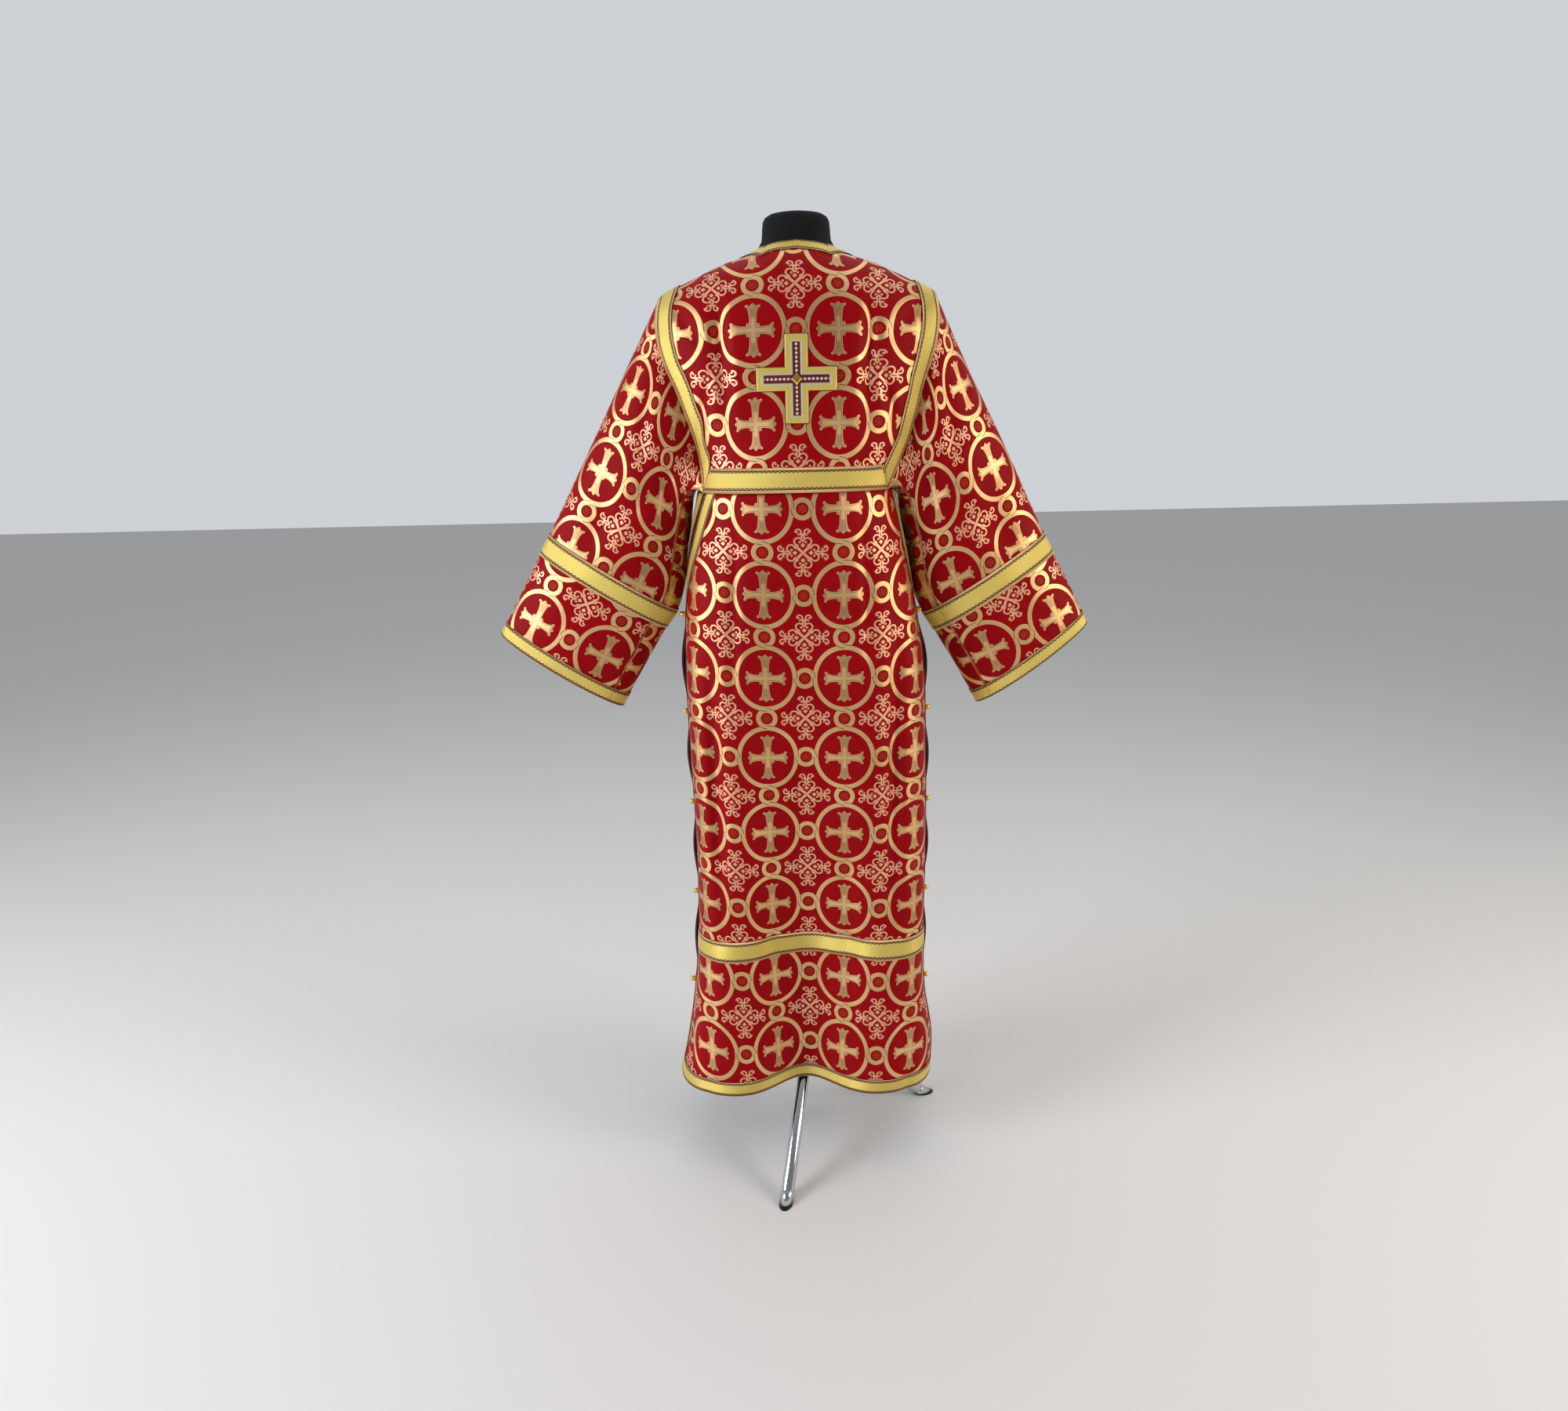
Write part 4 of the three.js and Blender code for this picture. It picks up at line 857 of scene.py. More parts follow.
hubProfile = [(hubRadius - 3, hubBottom), (hubRadius - 0.8, hubBottom + 0.9),
              (hubRadius, hubBottom + 3), (hubRadius, hubTop - 5), (hubRadius - 1.4, hubTop - 1.4),
              (hubRadius - 5, hubTop)]
postProfile = [(postRadius - 0.6, hubTop + stand["gap"]), (postRadius, hubTop + 1.0),
               (postRadius, stand["formBottom"] - stand["gap"])]
for name, profile in (("hub", hubProfile), ("post", postProfile)):
    pieces[f"stand_{name}"] = turnedSolid(name, (0, 0, 0), (0, 0, 1), profile, stand["hubSides"])
print("stand made")


def colour(text):
    values = [int(text[i:i + 2], 16) / 255 for i in (1, 3, 5)]
    return [v / 12.92 if v <= 0.04045 else ((v + 0.055) / 1.055) ** 2.4 for v in values] + [1.0]


nodeKinds = {"SHADER": "ShaderNode", "GEOMETRY": "GeometryNode"}


# Adds a node with its settings; a word after its kind is its operation or data type. Inputs
# are values, hex colours or other nodes' sockets, in turn or by name. It gives the node's one
# output, or all of them where it has several.
def addNode(tree, kind, *inputs, **settings):
    kind, *mode = kind.split()
    node = tree.nodes.new(nodeKinds[tree.type] + kind)
    if mode:
        settings["data_type" if kind == "Mix" else "operation"] = mode[0]
    for name, value in settings.items():
        setattr(node, name, value)
    if inputs and isinstance(inputs[0], dict):
        pairs = [(node.inputs[name], value) for name, value in inputs[0].items()]
    else:
        pairs = zip([socket for socket in node.inputs if socket.enabled], inputs)
    for socket, value in pairs:
        if isinstance(value, bpy.types.NodeSocket):
            tree.links.new(value, socket)
        else:
            socket.default_value = colour(value) if isinstance(value, str) else value
    outputs = [socket for socket in node.outputs if socket.enabled]
    return outputs[0] if len(outputs) == 1 else node.outputs


# A material with nothing in it yet, and addNode for its tree.
def newMaterial(name):
    material = bpy.data.materials.new(name)
    material.use_nodes = True
    material.node_tree.nodes.clear()
    return material, partial(addNode, material.node_tree)


def finishMaterial(add, inputs):
    add("OutputMaterial", {"Surface": add("BsdfPrincipled", inputs)})


# The share of a point that lies inside a shape, 1 within and 0 without, `soft` mm at its edge.
def insideOf(add, distance, soft=0.3):
    return add("MapRange", distance, -soft, soft, 1.0, 0.0)


# 0 below the limit and 1 above it.
def above(add, value, limit, soft=0.25):
    return add("MapRange", value, limit - soft, limit + soft)


def waveOf(add, value, pitch):
    return add("Math SINE", add("Math MULTIPLY", value, 2 * math.pi / pitch))


# Lengths of the woven pattern are millimetres; each place is measured from the middle of its
# own motif, and a disc is its centre and its radius.
brocade = {
    "repeat": (126.5, 134.8), "band": 7.2,
    "ringHalf": (50.4, 54.8), "linkOuter": 17.3, "linkInner": 9.6,
    "crossingLine": 0.5, "linkLine": 0.35,
    # the cross: arms that flare by a power of the distance, with hollow three-pointed ends
    "armHalf": 5.2, "flare": 4.6, "flarePower": 5.0, "upright": 35.0, "level": 29.2,
    "hollow": -0.35, "endRise": 1.0,
    "crossDiscs": [((0, 36.2), 2.6), ((9.3, 35.0), 2.0), ((30.2, 0), 2.5), ((29.2, 8.8), 2.0),
                   ((7.4, 7.2), 2.7)],
    "shadeFrom": 18.0, "shadeIn": 2.2, "shade": 0.45, "innerLine": (-1.5, 0.4), "innerShare": 0.8,
    # the quatrefoil: strokes with their ends, curls as rings that a disc cuts open
    "squeeze": 0.94,
    "strokes": [((0.6, 1.6), (10.9, 13.0), 1.1), ((1.6, 22.6), (2.4, 31.0), 1.1)],
    "curls": [((6.9, 17.6), 5.6, 1.15, (2.6, 13.6), 4.3), ((6.6, 32.2), 4.1, 1.1, (10.4, 28.6), 3.2)],
    "scrollDiscs": [((4.4, 16.6), 1.7), ((8.2, 31.6), 1.6)],
    "diamonds": [(11.8, 3.6), (18.6, 2.0), (28.0, 2.0)],
    # the rosette: a core, a thin ring and eight petals
    "core": 1.5, "coreRing": (3.0, 0.35), "petal": 1.2, "petals": [(5.4, 0), (0, 5.4), (3.9, 3.9)],
    "rosetteShare": 0.5,
    # the weave: its pitches, the height of each of its parts, and spots of colour 9 cm apart
    "weftPitch": 0.9, "warpPitch": 0.7, "warpShare": 0.6, "twillPitch": 1.6, "twillSlant": 0.6,
    "ribHeight": 0.25, "floatHeight": 1.6, "twillHeight": 0.35, "spots": 0.011,
    "rough": 0.46, "floatGloss": -0.1, "goldMetal": 0.9, "scrollMetal": 0.7,
    "ground": ("#820208", "#9B050D"), "thread": ("#C8965C", "#F2CE98"), "line": "#5A2010",
    "scroll": "#E8B08A", "rosette": "#A23E22",
}


# Red satin ground with a gold weft pattern: ringed crosses, linked by small rings, with
# scrolled quatrefoils between them. The gold floats catch the light and the satin stays deep.
def makeBrocade(name, shift):
    material, add = newMaterial(name)
    smallest = lambda first, *more: add("Math MINIMUM", first, smallest(*more)) if more else first
    largest = lambda first, *more: add("Math MAXIMUM", first, largest(*more)) if more else first
    # a line of the given half width along the edge where the distance is `middle`
    band = lambda distance, middle, half: add(
        "Math SUBTRACT", add("Math ABSOLUTE", add("Math SUBTRACT", distance, middle)), half)
    halfX, halfY = brocade["repeat"][0] / 2, brocade["repeat"][1] / 2
    uv = add("UVMap", uv_map="clothMap")
    millimetres = add("VectorMath MULTIPLY_ADD", uv, (1000, 1000, 0), (*shift, 0))
    cell = add("VectorMath WRAP", millimetres, (halfX, halfY, 1), (-halfX, -halfY, -1))
    folded = add("VectorMath ABSOLUTE", cell)
    signed = add("SeparateXYZ", cell)
    x, y, _ = add("SeparateXYZ", folded)
    away = lambda centre, place=folded: add("VectorMath DISTANCE", place, (*centre, 0))
    disc = lambda centre, radius, place=folded: add("Math SUBTRACT", away(centre, place), radius)

    # the big oval ring and the small rings that link it to its neighbours
    ringX, ringY = brocade["ringHalf"]
    mean = (ringX + ringY) / 2
    oval = add("Math MULTIPLY", add("VectorMath LENGTH", add(
        "VectorMath MULTIPLY", folded, (1 / ringX, 1 / ringY, 0))), mean)
    half = brocade["band"] / 2
    bigRing = band(oval, mean - half, half)
    link = add("Math MINIMUM", away((halfX, 0)), away((0, halfY)))
    linkMiddle = (brocade["linkOuter"] + brocade["linkInner"]) / 2
    smallRing = band(link, linkMiddle, linkMiddle - brocade["linkInner"])
    # the rings pass over and under each other by turns, as the lines of their edges show
    line = brocade["crossingLine"]
    turnedOver = add("Math GREATER_THAN", add("Math MULTIPLY", signed[0], signed[1]), 0.0)
    underLink = largest(band(link, brocade["linkOuter"], line), bigRing)
    underRing = largest(band(oval, mean, line), smallRing)
    crossing = add("Math MULTIPLY_ADD", add("Math SUBTRACT", underRing, underLink), turnedOver,
                   underLink)
    edges = smallest(crossing, band(link, brocade["linkInner"], brocade["linkLine"]))

    # one arm of the cross: `run` is along it and `off` across it
    def crossArmShape(run, off, reach):
        flare = add("Math POWER", add("Math DIVIDE", run, reach), brocade["flarePower"])
        width = add("Math MULTIPLY_ADD", flare, brocade["flare"], brocade["armHalf"])
        fromPoint = add("Math ABSOLUTE", add("Math SUBTRACT", off, brocade["armHalf"]))
        end = add("Math ADD", add("Math MULTIPLY", fromPoint, brocade["hollow"]),
                  reach + brocade["endRise"])
        return largest(add("Math SUBTRACT", off, width), add("Math SUBTRACT", run, end))

    upright = crossArmShape(y, x, brocade["upright"])
    level = crossArmShape(x, y, brocade["level"])
    cross = smallest(upright, level, *(disc(*spot) for spot in brocade["crossDiscs"]))

    # the quatrefoil round the corner of the repeat: each arm a heart of two lobes whose ends
    # curl outward, folded on its own diagonal so that one arm serves for all
    fromX = add("Math MULTIPLY", add("Math SUBTRACT", halfX, x), brocade["squeeze"])
    fromY = add("Math SUBTRACT", halfY, y)
    low, high = add("Math MINIMUM", fromX, fromY), add("Math MAXIMUM", fromX, fromY)
    arm = add("CombineXYZ", low, high)

    def stroke(start, end, width):
        run = (end[0] - start[0], end[1] - start[1], 0)
        shifted = add("VectorMath SUBTRACT", arm, (*start, 0))
        share = add("Math MULTIPLY", add("VectorMath DOT_PRODUCT", shifted, run),
                    1 / (run[0]**2 + run[1]**2), use_clamp=True)
        nearest = add("VectorMath SCALE", run, share)
        return add("Math SUBTRACT", add("VectorMath DISTANCE", shifted, nearest), width)

    def curl(centre, radius, width, cutAt, cutRadius):
        cut = add("Math SUBTRACT", 0.0, disc(cutAt, cutRadius, arm))
        return largest(band(away(centre, arm), radius, width), cut)

    def diamond(at, size):
        up = add("Math ABSOLUTE", add("Math SUBTRACT", high, at))
        return add("Math SUBTRACT", add("Math ADD", add("Math ABSOLUTE", low), up), size)

    scrolls = smallest(
        *(stroke(*ends) for ends in brocade["strokes"]), *(curl(*ring) for ring in brocade["curls"]),
        *(disc(*spot, arm) for spot in brocade["scrollDiscs"]),
        *(diamond(*place) for place in brocade["diamonds"]))

    # an eight-petalled rosette in each small disc
    petals = []
    for middle in ((halfX, 0, 0), (0, halfY, 0)):
        off = add("VectorMath ABSOLUTE", add("VectorMath SUBTRACT", folded, middle))
        petals += [disc(centre, brocade["petal"], off) for centre in brocade["petals"]]
    core = add("Math SUBTRACT", link, brocade["core"])
    rosette = smallest(core, band(link, *brocade["coreRing"]), *petals)

    ringMask, crossMask = insideOf(add, smallest(bigRing, smallRing)), insideOf(add, cross)
    scrollMask, rosetteMask = insideOf(add, scrolls), insideOf(add, rosette)
    goldMask = largest(ringMask, crossMask)
    pattern = largest(goldMask, scrollMask,
                      add("Math MULTIPLY", rosetteMask, brocade["rosetteShare"]))

    # the gold is woven from two threads that take the light by turns
    slow = add("TexNoise", {"Vector": millimetres, "Scale": brocade["spots"], "Detail": 2.0})[0]
    ground = add("Mix RGBA", slow, *brocade["ground"])
    thread = add("Mix RGBA", slow, *brocade["thread"])
    # the outer part of each cross's upright arm is painted darker: painted shade for the duller sheen
    # of its gold threads
    shaded = insideOf(add, largest(add("Math ADD", upright, brocade["shadeIn"]),
                                   add("Math SUBTRACT", brocade["shadeFrom"], y)), 2.0)
    shaded = add("Math MULTIPLY", shaded, brocade["shade"])
    thread = add("Mix RGBA", shaded, thread, brocade["line"])
    inner = insideOf(add, band(cross, *brocade["innerLine"]))
    lines = largest(insideOf(add, edges), add("Math MULTIPLY", inner, brocade["innerShare"]))
    thread = add("Mix RGBA", lines, thread, brocade["line"])
    base = add("Mix RGBA", scrollMask, ground, brocade["scroll"])
    base = add("Mix RGBA", rosetteMask, base, brocade["rosette"])
    base = add("Mix RGBA", goldMask, base, thread)

    # weft ribs in the ground, and a twill line where the gold threads float over it
    spread = add("SeparateXYZ", millimetres)
    ribs = add("Math ADD", waveOf(add, spread[1], brocade["weftPitch"]), add(
        "Math MULTIPLY", waveOf(add, spread[0], brocade["warpPitch"]), brocade["warpShare"]))
    slanted = add("Math MULTIPLY_ADD", spread[1], brocade["twillSlant"], spread[0])
    twill = add("Math MULTIPLY", waveOf(add, slanted, brocade["twillPitch"]), pattern)
    floats = add("Math MULTIPLY", pattern, brocade["floatHeight"])
    height = add("Math MULTIPLY_ADD", ribs, brocade["ribHeight"], floats)
    height = add("Math MULTIPLY_ADD", twill, brocade["twillHeight"], height)
    bump = add("Bump", {"Height": height, "Distance": 0.0002, "Strength": 0.6})
    rough = add("Math MULTIPLY_ADD", pattern, brocade["floatGloss"], brocade["rough"])
    scrollMetal = add("Math MULTIPLY", scrollMask, brocade["scrollMetal"])
    metal = add("Math MULTIPLY_ADD", goldMask, brocade["goldMetal"], scrollMetal)
    finishMaterial(add, {"Base Color": base, "Roughness": rough, "Metallic": metal, "Normal": bump,
                         "Specular IOR Level": 0.06})
    return material


# The marks lie at a share of the trim's width in from each edge; the drops are from there.
galloon = {
    "borderShare": 0.17, "toothPitch": 3.5, "toothSlope": 0.6, "toothDrop": 1.4, "toothHalf": 1.0,
    "lineDrop": 2.2, "lineHalf": 0.85, "stripDrop": 3.0, "twillPitch": 2.6, "twillSlant": 1.1,
    "ribPitch": 0.9, "lame": ("#B5963A", "#F0DA76"), "strip": "#DDB478", "marks": "#4E0808",
}


# Gold lame galloon: a diagonal twill that glints, dark red zigzags near the edges and pale
# outer strips.
def makeGalloon(name, width):
    material, add = newMaterial(name)
    parts = add("SeparateXYZ", add("UVMap", uv_map="clothMap"))
    along, across = (add("Math MULTIPLY", parts[i], 1000.0) for i in (0, 1))
    fromMiddle = add("Math ABSOLUTE", add("Math SUBTRACT", across, width / 2))
    edge = add("Math SUBTRACT", width / 2, fromMiddle)
    border = width * galloon["borderShare"]
    zigzag = add("Math MULTIPLY_ADD", add("Math PINGPONG", along, galloon["toothPitch"]),
                 galloon["toothSlope"], border - galloon["toothDrop"])
    lines = []
    for middle, half in ((zigzag, galloon["toothHalf"]),
                         (border - galloon["lineDrop"], galloon["lineHalf"])):
        off = add("Math ABSOLUTE", add("Math SUBTRACT", edge, middle))
        lines.append(add("Math SUBTRACT", off, half))
    marks = insideOf(add, add("Math MINIMUM", *lines), 0.25)
    strip = insideOf(add, add("Math SUBTRACT", edge, border - galloon["stripDrop"]))
    slant, pitch = galloon["twillSlant"], galloon["twillPitch"]
    rising = waveOf(add, add("Math MULTIPLY_ADD", across, slant, along), pitch)
    falling = waveOf(add, add("Math MULTIPLY_ADD", across, -slant, along), pitch)
    twill = add("Math ADD", rising, add("Math MULTIPLY", falling, 0.45))
    glint = add("MapRange", twill, -1.4)
    base = add("Mix RGBA", glint, *galloon["lame"])
    base = add("Mix RGBA", strip, base, galloon["strip"])
    base = add("Mix RGBA", marks, base, galloon["marks"])
    ribs = add("Math MULTIPLY", waveOf(add, along, galloon["ribPitch"]), strip)
    height = add("Math ADD", twill, ribs)
    bump = add("Bump", {"Height": height, "Distance": 0.0002, "Strength": 0.7})
    metal = add("Math MULTIPLY_ADD", marks, -0.6, 0.6)
    finishMaterial(add, {"Base Color": base, "Roughness": 0.4, "Metallic": metal, "Normal": bump})
    return material


# Black cotton jersey: matt, with fine knitted ribs and a seam down the middle of the back.
def makeJersey():
    material, add = newMaterial("blackCottonJersey")
    ribPitch, seamFrom, seamTo = 0.0012, 0.0004, 0.0014
    across = add("SeparateXYZ", add("UVMap", uv_map="clothMap"))[0]
    ribs = waveOf(add, across, ribPitch)
    seam = add("MapRange", add("Math ABSOLUTE", across), seamFrom, seamTo)
    height = add("Math ADD", add("Math MULTIPLY", ribs, 0.15), add("Math MULTIPLY", seam, 2.0))
    bump = add("Bump", {"Height": height, "Distance": 0.0004, "Strength": 0.8})
    finishMaterial(add, {"Base Color": "#0B0B0D", "Roughness": 0.9, "Normal": bump,
                         "Specular IOR Level": 0.25})
    return material


# Where each part of the cross starts, in millimetres in from its edge.
crossCloth = {
    "lameFrom": 1.3, "pipingFrom": 9.2, "stripFrom": 12.0, "chainFrom": 12.4,
    "beadPitch": 3.1, "beadSlope": 0.9, "beadHalf": 2.3, "ribs": 2.6, "ribSlant": 0.7, "twist": 2.2,
    "outline": "#4B0C10", "lame": ("#C0A038", "#F2DA78"), "piping": ("#9C937C", "#EFE8D2"),
    "strip": "#520812", "chain": "#EBC7A6",
}


# Gold lame cross: an outline of dark cord, a lame border, silver piping and a red strip
# with a chain of pale diamonds.
def makeCrossCloth():
    material, add = newMaterial("goldLameCross")
    uv = add("UVMap", uv_map="clothMap")
    parts = add("SeparateXYZ", add("VectorMath MULTIPLY", uv, (1000, 1000, 0)))
    x, y = add("Math ABSOLUTE", parts[0]), add("Math ABSOLUTE", parts[1])
    bars = []
    for halfWide, halfTall in ((crossArm, crossHalfZ), (crossHalfX, crossArm)):
        bars.append(add("Math MINIMUM", add("Math SUBTRACT", halfWide, x),
                        add("Math SUBTRACT", halfTall, y)))
    inset = add("Math MAXIMUM", *bars)
    slanted = add("Math ADD", parts[0], add("Math MULTIPLY", parts[1], crossCloth["ribSlant"]))
    ribs = add("Math SINE", add("Math MULTIPLY", slanted, crossCloth["ribs"]))
    diagonal = add("Math ADD", parts[0], parts[1])
    twist = add("Math SINE", add("Math MULTIPLY", diagonal, crossCloth["twist"]))
    base = add("Mix RGBA", above(add, ribs, 0.0, 1.0), *crossCloth["lame"])
    piping = add("Mix RGBA", above(add, twist, 0.0, 0.8), *crossCloth["piping"])
    base = add("Mix RGBA", above(add, inset, crossCloth["pipingFrom"]), base, piping)
    inStrip = above(add, inset, crossCloth["stripFrom"])
    base = add("Mix RGBA", inStrip, base, crossCloth["strip"])
    run, off = add("Math MAXIMUM", x, y), add("Math MINIMUM", x, y)
    toBead = add("Math MULTIPLY", add("Math PINGPONG", run, crossCloth["beadPitch"]),
                 crossCloth["beadSlope"])
    bead = add("Math SUBTRACT", crossCloth["beadHalf"], add("Math ADD", toBead, off))
    chain = add("Math MULTIPLY", above(add, bead, 0.0), above(add, inset, crossCloth["chainFrom"]))
    base = add("Mix RGBA", chain, base, crossCloth["chain"])
    inLame = above(add, inset, crossCloth["lameFrom"])
    base = add("Mix RGBA", inLame, crossCloth["outline"], base)
    metal = add("Math MULTIPLY", add("Math MULTIPLY", inLame, add("Math SUBTRACT", 1.0, inStrip)), 0.45)
    height = add("Math ADD", add("Math MULTIPLY", ribs, 0.4), add("Math MULTIPLY", chain, 2.0))
    bump = add("Bump", {"Height": height, "Distance": 0.0003, "Strength": 0.7})
    finishMaterial(add, {"Base Color": base, "Roughness": 0.38, "Metallic": metal, "Normal": bump})
    return material


# Wine-red twill on the reverse of the cloth, dull and plain.
def makeReverse():
    material, add = newMaterial("wineRedTwill")
    uv = add("UVMap", uv_map="clothMap")
    wave = add("TexWave", {"Vector": uv, "Scale": 250.0}, bands_direction="DIAGONAL")
    bump = add("Bump", {"Height": wave[1], "Distance": 0.0002})
    finishMaterial(add, {"Base Color": "#4A0A12", "Roughness": 0.75, "Normal": bump})
    return material


# Plated metal, or a thread wound with it: its gloss varies a little from place to place, as
# handling leaves it. `spots` is how many such places lie on a metre.
def makeMetal(name, text, roughness, spots):
    material, add = newMaterial(name)
    place = add("TexCoord")["Object"]
    noise = add("TexNoise", {"Vector": place, "Scale": spots, "Detail": 2.0})[0]
    rough = add("MapRange", {"Value": noise, "To Min": roughness * 0.7, "To Max": roughness * 1.4})
    finishMaterial(add, {"Base Color": text, "Metallic": 1.0, "Roughness": rough})
    return material


metals = {"chrome": "#CDD0D3", "brass": "#E8BE5A", "cord": "#D9AE4C"}
plasticBlack = "#18181A"
sole = {"top": (0.0048, 0.0052), "rough": 0.5, "tubeRough": 0.09}


# Chromed tube on a thin moulded sole: bright down to the black edge that meets the floor.
def makeFoot():
    material, add = newMaterial("chromeOnBlackSole")
    place = add("TexCoord")["Object"]
    tube = add("MapRange", add("SeparateXYZ", place)[2], *sole["top"])
    noise = add("TexNoise", {"Vector": place, "Scale": 40.0})[0]
    rough = add("MapRange", {"Value": tube, "To Min": sole["rough"], "To Max": sole["tubeRough"]})
    worn = add("Math MULTIPLY_ADD", noise, 0.05, rough)
    base = add("Mix RGBA", tube, plasticBlack, metals["chrome"])
    finishMaterial(add, {"Base Color": base, "Metallic": tube, "Roughness": worn})
    return material


# Moulded plastic: half matt, with a fine spark-eroded grain.
def makePlastic(name, text):
    material, add = newMaterial(name)
    noise = add("TexNoise", {"Vector": add("TexCoord")["Object"], "Scale": 900.0})[0]
    bump = add("Bump", {"Height": noise, "Distance": 0.0001})
    finishMaterial(add, {"Base Color": text, "Roughness": 0.5, "Normal": bump})
    return material


def dress(piece, slotName, *materials):
    for material in materials:
        piece.data.materials.append(material)
    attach(piece, "root")


reverse = makeReverse()
finishes = {
    "yoke": ("brocade", makeBrocade("silkBrocadeYoke", (68.2, -1284.0)), reverse),
    "skirt": ("brocade", makeBrocade("silkBrocadeSkirt", (63.2, -1157.0)), reverse),
    "sleeve": ("brocade", makeBrocade("silkBrocadeSleeve", (63.2, 0.0)), reverse),
    "form": ("black_jersey", makeJersey()),
    "cross": ("cross_cloth", makeCrossCloth()),
    "gold": ("gold_metal", makeMetal("giltBrass", metals["brass"], 0.2, 300.0)),
    "chrome": ("chrome", makeMetal("polishedChrome", metals["chrome"], 0.1, 40.0)),
    "plastic": ("black_plastic", makePlastic("blackMouldedPlastic", plasticBlack)),
    "foot": ("black_plastic", makeFoot()),
    "wide": ("galloon", makeGalloon("goldGalloonWide", cloth["wideTrim"]), reverse),
    "narrow": ("galloon", makeGalloon("goldGalloonNarrow", cloth["narrowTrim"]), reverse),
}
kinds = {"yoke": "yoke", "skirt_band": "wide", "skirt": "skirt", "sleeve_band": "wide",
         "sleeve": "sleeve", "form": "form", "back_cross_centre": "gold", "back_cross": "cross",
         "button": "gold", "stand_leg": "chrome", "stand_post": "chrome", "stand_hub": "plastic",
         "stand_foot": "foot", "chest_band": "wide", "armhole": "wide", "neck": "narrow",
         "cuff": "narrow", "hem": "narrow", "side": "narrow"}
made = {**pieces, **trims}
for node, piece in made.items():
    kind = next(finish for start, finish in kinds.items() if node.startswith(start))
    dress(piece, *finishes[kind])
    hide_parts(node)
print("materials made")


# Lays a cord along the edges of a mesh, with its sizes and its finish as inputs.
def makeCordTree():
    tree = bpy.data.node_groups.new("loopCord", "GeometryNodeTree")
    for name, kind in (("Path", "Geometry"), ("Radius", "Float"), ("Sides", "Int"),
                       ("Finish", "Material")):
        tree.interface.new_socket(name, in_out="INPUT", socket_type="NodeSocket" + kind)
    tree.interface.new_socket("Cord", in_out="OUTPUT", socket_type="NodeSocketGeometry")
    given = tree.nodes.new("NodeGroupInput").outputs
    curve = addNode(tree, "MeshToCurve", {"Mesh": given["Path"]})
    profile = addNode(tree, "CurvePrimitiveCircle", {
        "Resolution": given["Sides"], "Radius": given["Radius"]})
    tube = addNode(tree, "CurveToMesh", {"Curve": curve, "Profile Curve": profile, "Fill Caps": True})
    whole = addNode(tree, "RealizeInstances", {"Geometry": tube})
    finished = addNode(tree, "SetMaterial", {"Geometry": whole, "Material": given["Finish"]})
    tree.links.new(finished, tree.nodes.new("NodeGroupOutput").inputs["Cord"])
    return tree


def makeLoop(node, tree, finish):
    centre, sign = buttonPlace(node)
    x = centre[0] - sign * (button["radius"] - buttonLoop["height"])
    farX = x - sign * buttonLoop["sink"]
    reach, turn, size = buttonLoop["reach"], buttonLoop["turn"], buttonLoop["round"]
    nearHalf, farHalf = buttonLoop["tailHalf"]
    tail = [(farX, reach, farHalf), (x, reach - buttonLoop["tail"], nearHalf)]
    path = [(across, y, -z) for across, y, z in tail]
    path += [(x, -size * np.cos(a), size * np.sin(a))
             for a in np.linspace(-turn, turn, buttonLoop["steps"])]
    path += tail[::-1]
    points = np.array(path) + [0, centre[1], centre[2]]
    line = bpy.data.meshes.new(f"loop_{node}")
    line.from_pydata(toRow(points).tolist(), [(i, i + 1) for i in range(len(path) - 1)], [])
    loop = bpy.data.objects.new(f"loop_{node}", line)
    bpy.context.scene.collection.objects.link(loop)
    modifier = loop.modifiers.new("cord", "NODES")
    modifier.node_group = tree
    values = {"Radius": buttonLoop["cord"] / 1000, "Sides": buttonLoop["sides"], "Finish": finish}
    for item in tree.interface.items_tree:
        if item.name in values:
            modifier[item.identifier] = values[item.name]
    evaluated = loop.evaluated_get(bpy.context.evaluated_depsgraph_get())
    mesh = bpy.data.meshes.new_from_object(evaluated)
    mesh.polygons.foreach_set("use_smooth", np.ones(len(mesh.polygons), bool))
    loop.modifiers.remove(modifier)
    loop.data = mesh
    return loop


cordTree = makeCordTree()
goldCord = makeMetal("goldCord", metals["cord"], 0.45, 2000.0)
loops = [makeLoop(node, cordTree, goldCord) for node in buttonNodes]
for loop in loops:
    dress(loop, "galloon")
print("loops made")


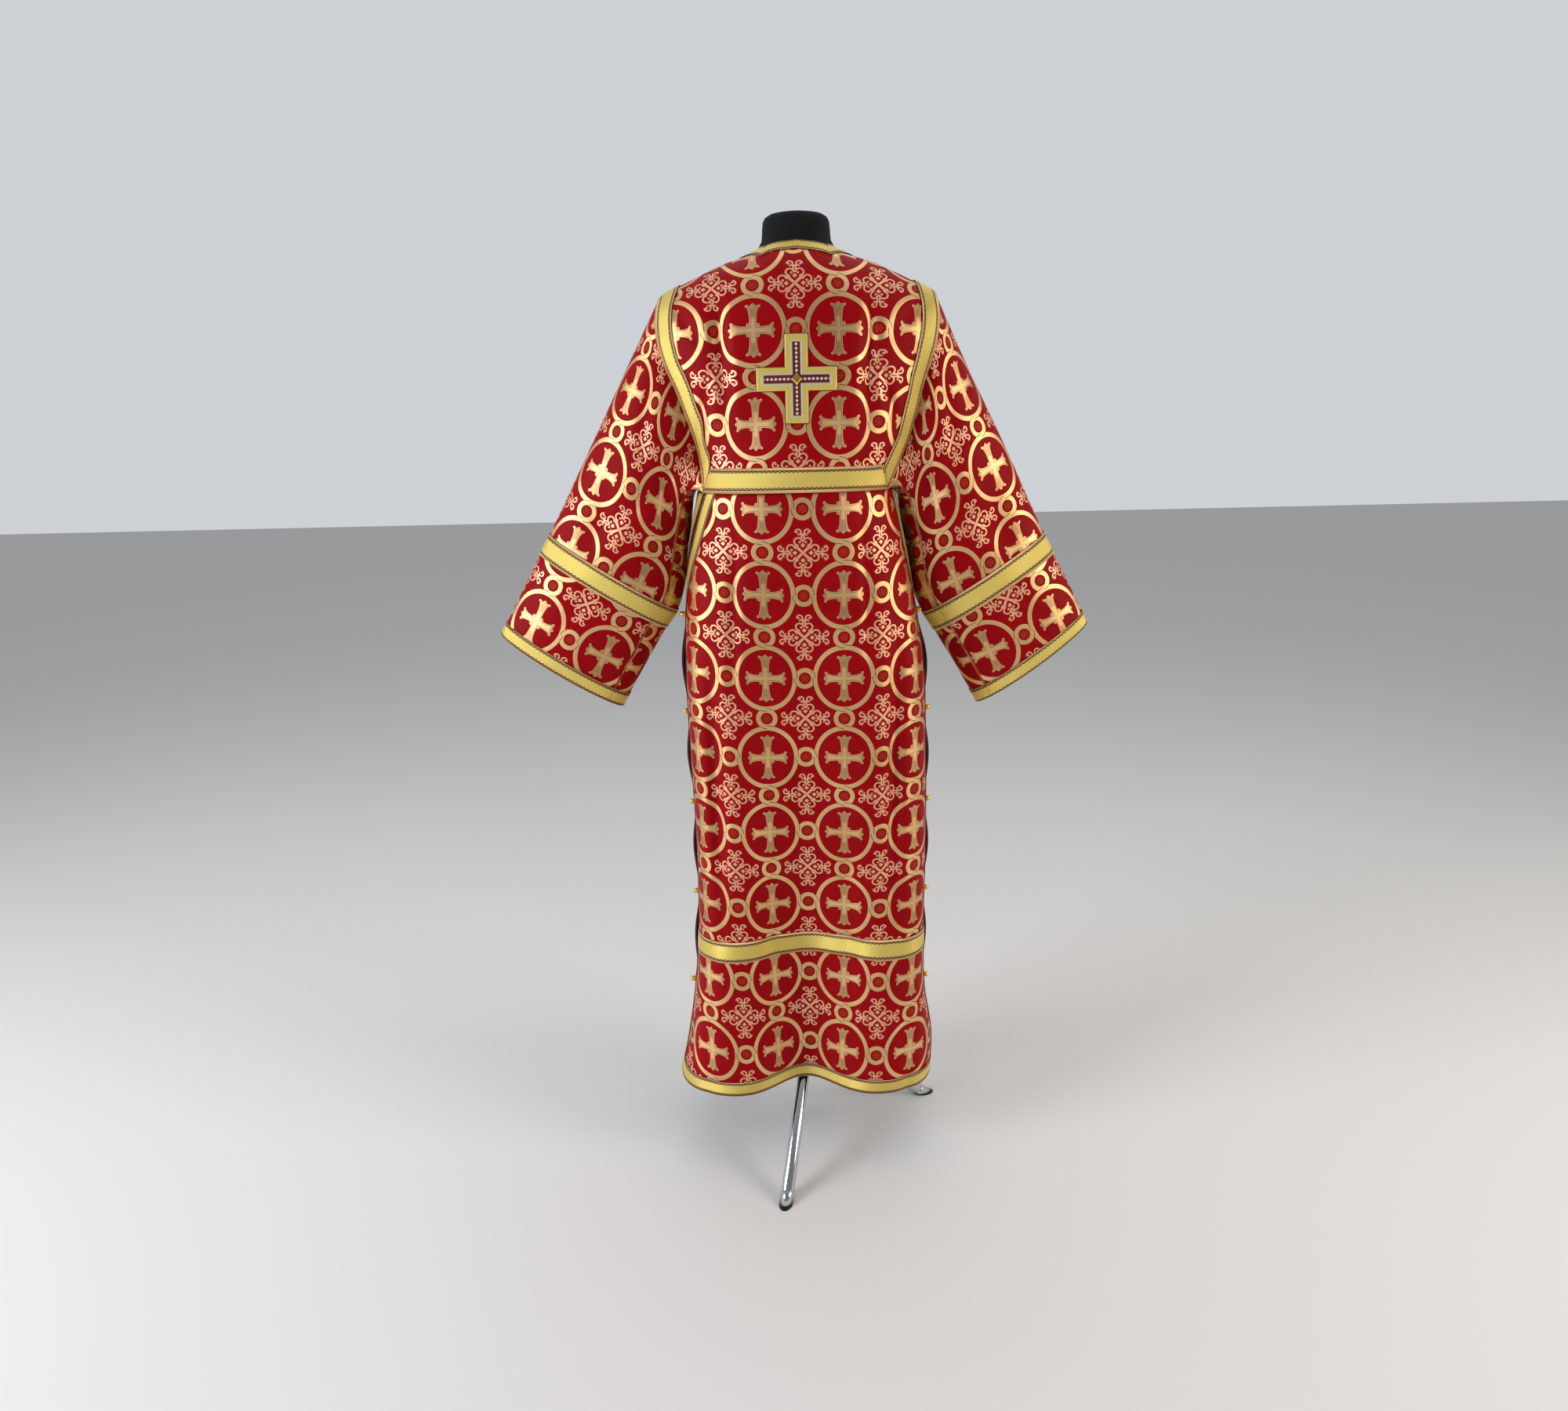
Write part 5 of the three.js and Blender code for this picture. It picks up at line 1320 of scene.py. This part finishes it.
# The stage, the light and the camera; places here are metres.
stage = {"floor": 30.0, "lensAt": (-0.0345, -1.77, 1.27), "pitch": 75.6, "roll": -1.25,
         "lens": 24.34}
bpy.ops.mesh.primitive_plane_add(size=stage["floor"])
floor = bpy.context.active_object
floor.name = "floor"
# matt painted floor: pale, with no gloss of its own
floorMaterial, addFloor = newMaterial("paleFloor")
finishMaterial(addFloor, {"Base Color": "#D8D6D3", "Roughness": 0.8})
floor.data.materials.append(floorMaterial)

world = bpy.data.worlds.new("studio")
bpy.context.scene.world = world
world.use_nodes = True
worldTree = world.node_tree
background = worldTree.nodes["Background"]
background.inputs[0].default_value = colour("#DDE1E6")
# the room is pale beyond the form and dim on the near side, so level cloth stays deep red
heading = addNode(worldTree, "SeparateXYZ", addNode(worldTree, "TexCoord")["Generated"])[1]
room = addNode(worldTree, "MapRange", heading, -0.7, 0.7, 0.32, 0.85)
worldTree.links.new(room, background.inputs[1])

lights = {
    "windowLeft": {"at": (-3.2, -1.6, 1.7), "size": 1.7, "power": 118, "tint": "#F4F7FF"},
    "windowRight": {"at": (3.1, -1.25, 1.8), "size": 1.6, "power": 68, "tint": "#FFF6EA"},
    "topSoft": {"at": (0.2, 0.4, 3.4), "size": 2.4, "power": 18, "tint": "#FFFFFF"},
}
for name, settings in lights.items():
    data = bpy.data.lights.new(name, "AREA")
    data.size, data.energy = settings["size"], settings["power"]
    data.color = colour(settings["tint"])[:3]
    lamp = bpy.data.objects.new(name, data)
    lamp.location = Vector(settings["at"]) + Vector(axis)
    aim = Vector(axis) + Vector((0, 0, 0.95)) - lamp.location
    lamp.rotation_euler = aim.to_track_quat("-Z", "Y").to_euler()
    bpy.context.scene.collection.objects.link(lamp)

cameraData = bpy.data.cameras.new("camera")
cameraData.lens, cameraData.sensor_width = stage["lens"], 36.0
camera = bpy.data.objects.new("camera", cameraData)
bpy.context.scene.collection.objects.link(camera)
bpy.context.scene.view_settings.view_transform = "Standard"
camera.matrix_world = (
    Matrix.Translation(Vector(axis) + Vector(stage["lensAt"]))
    @ Matrix.Rotation(math.radians(stage["pitch"]), 4, "X")
    @ Matrix.Rotation(math.radians(stage["roll"]), 4, "Z"))
bpy.context.scene.camera = camera
print("stage set")
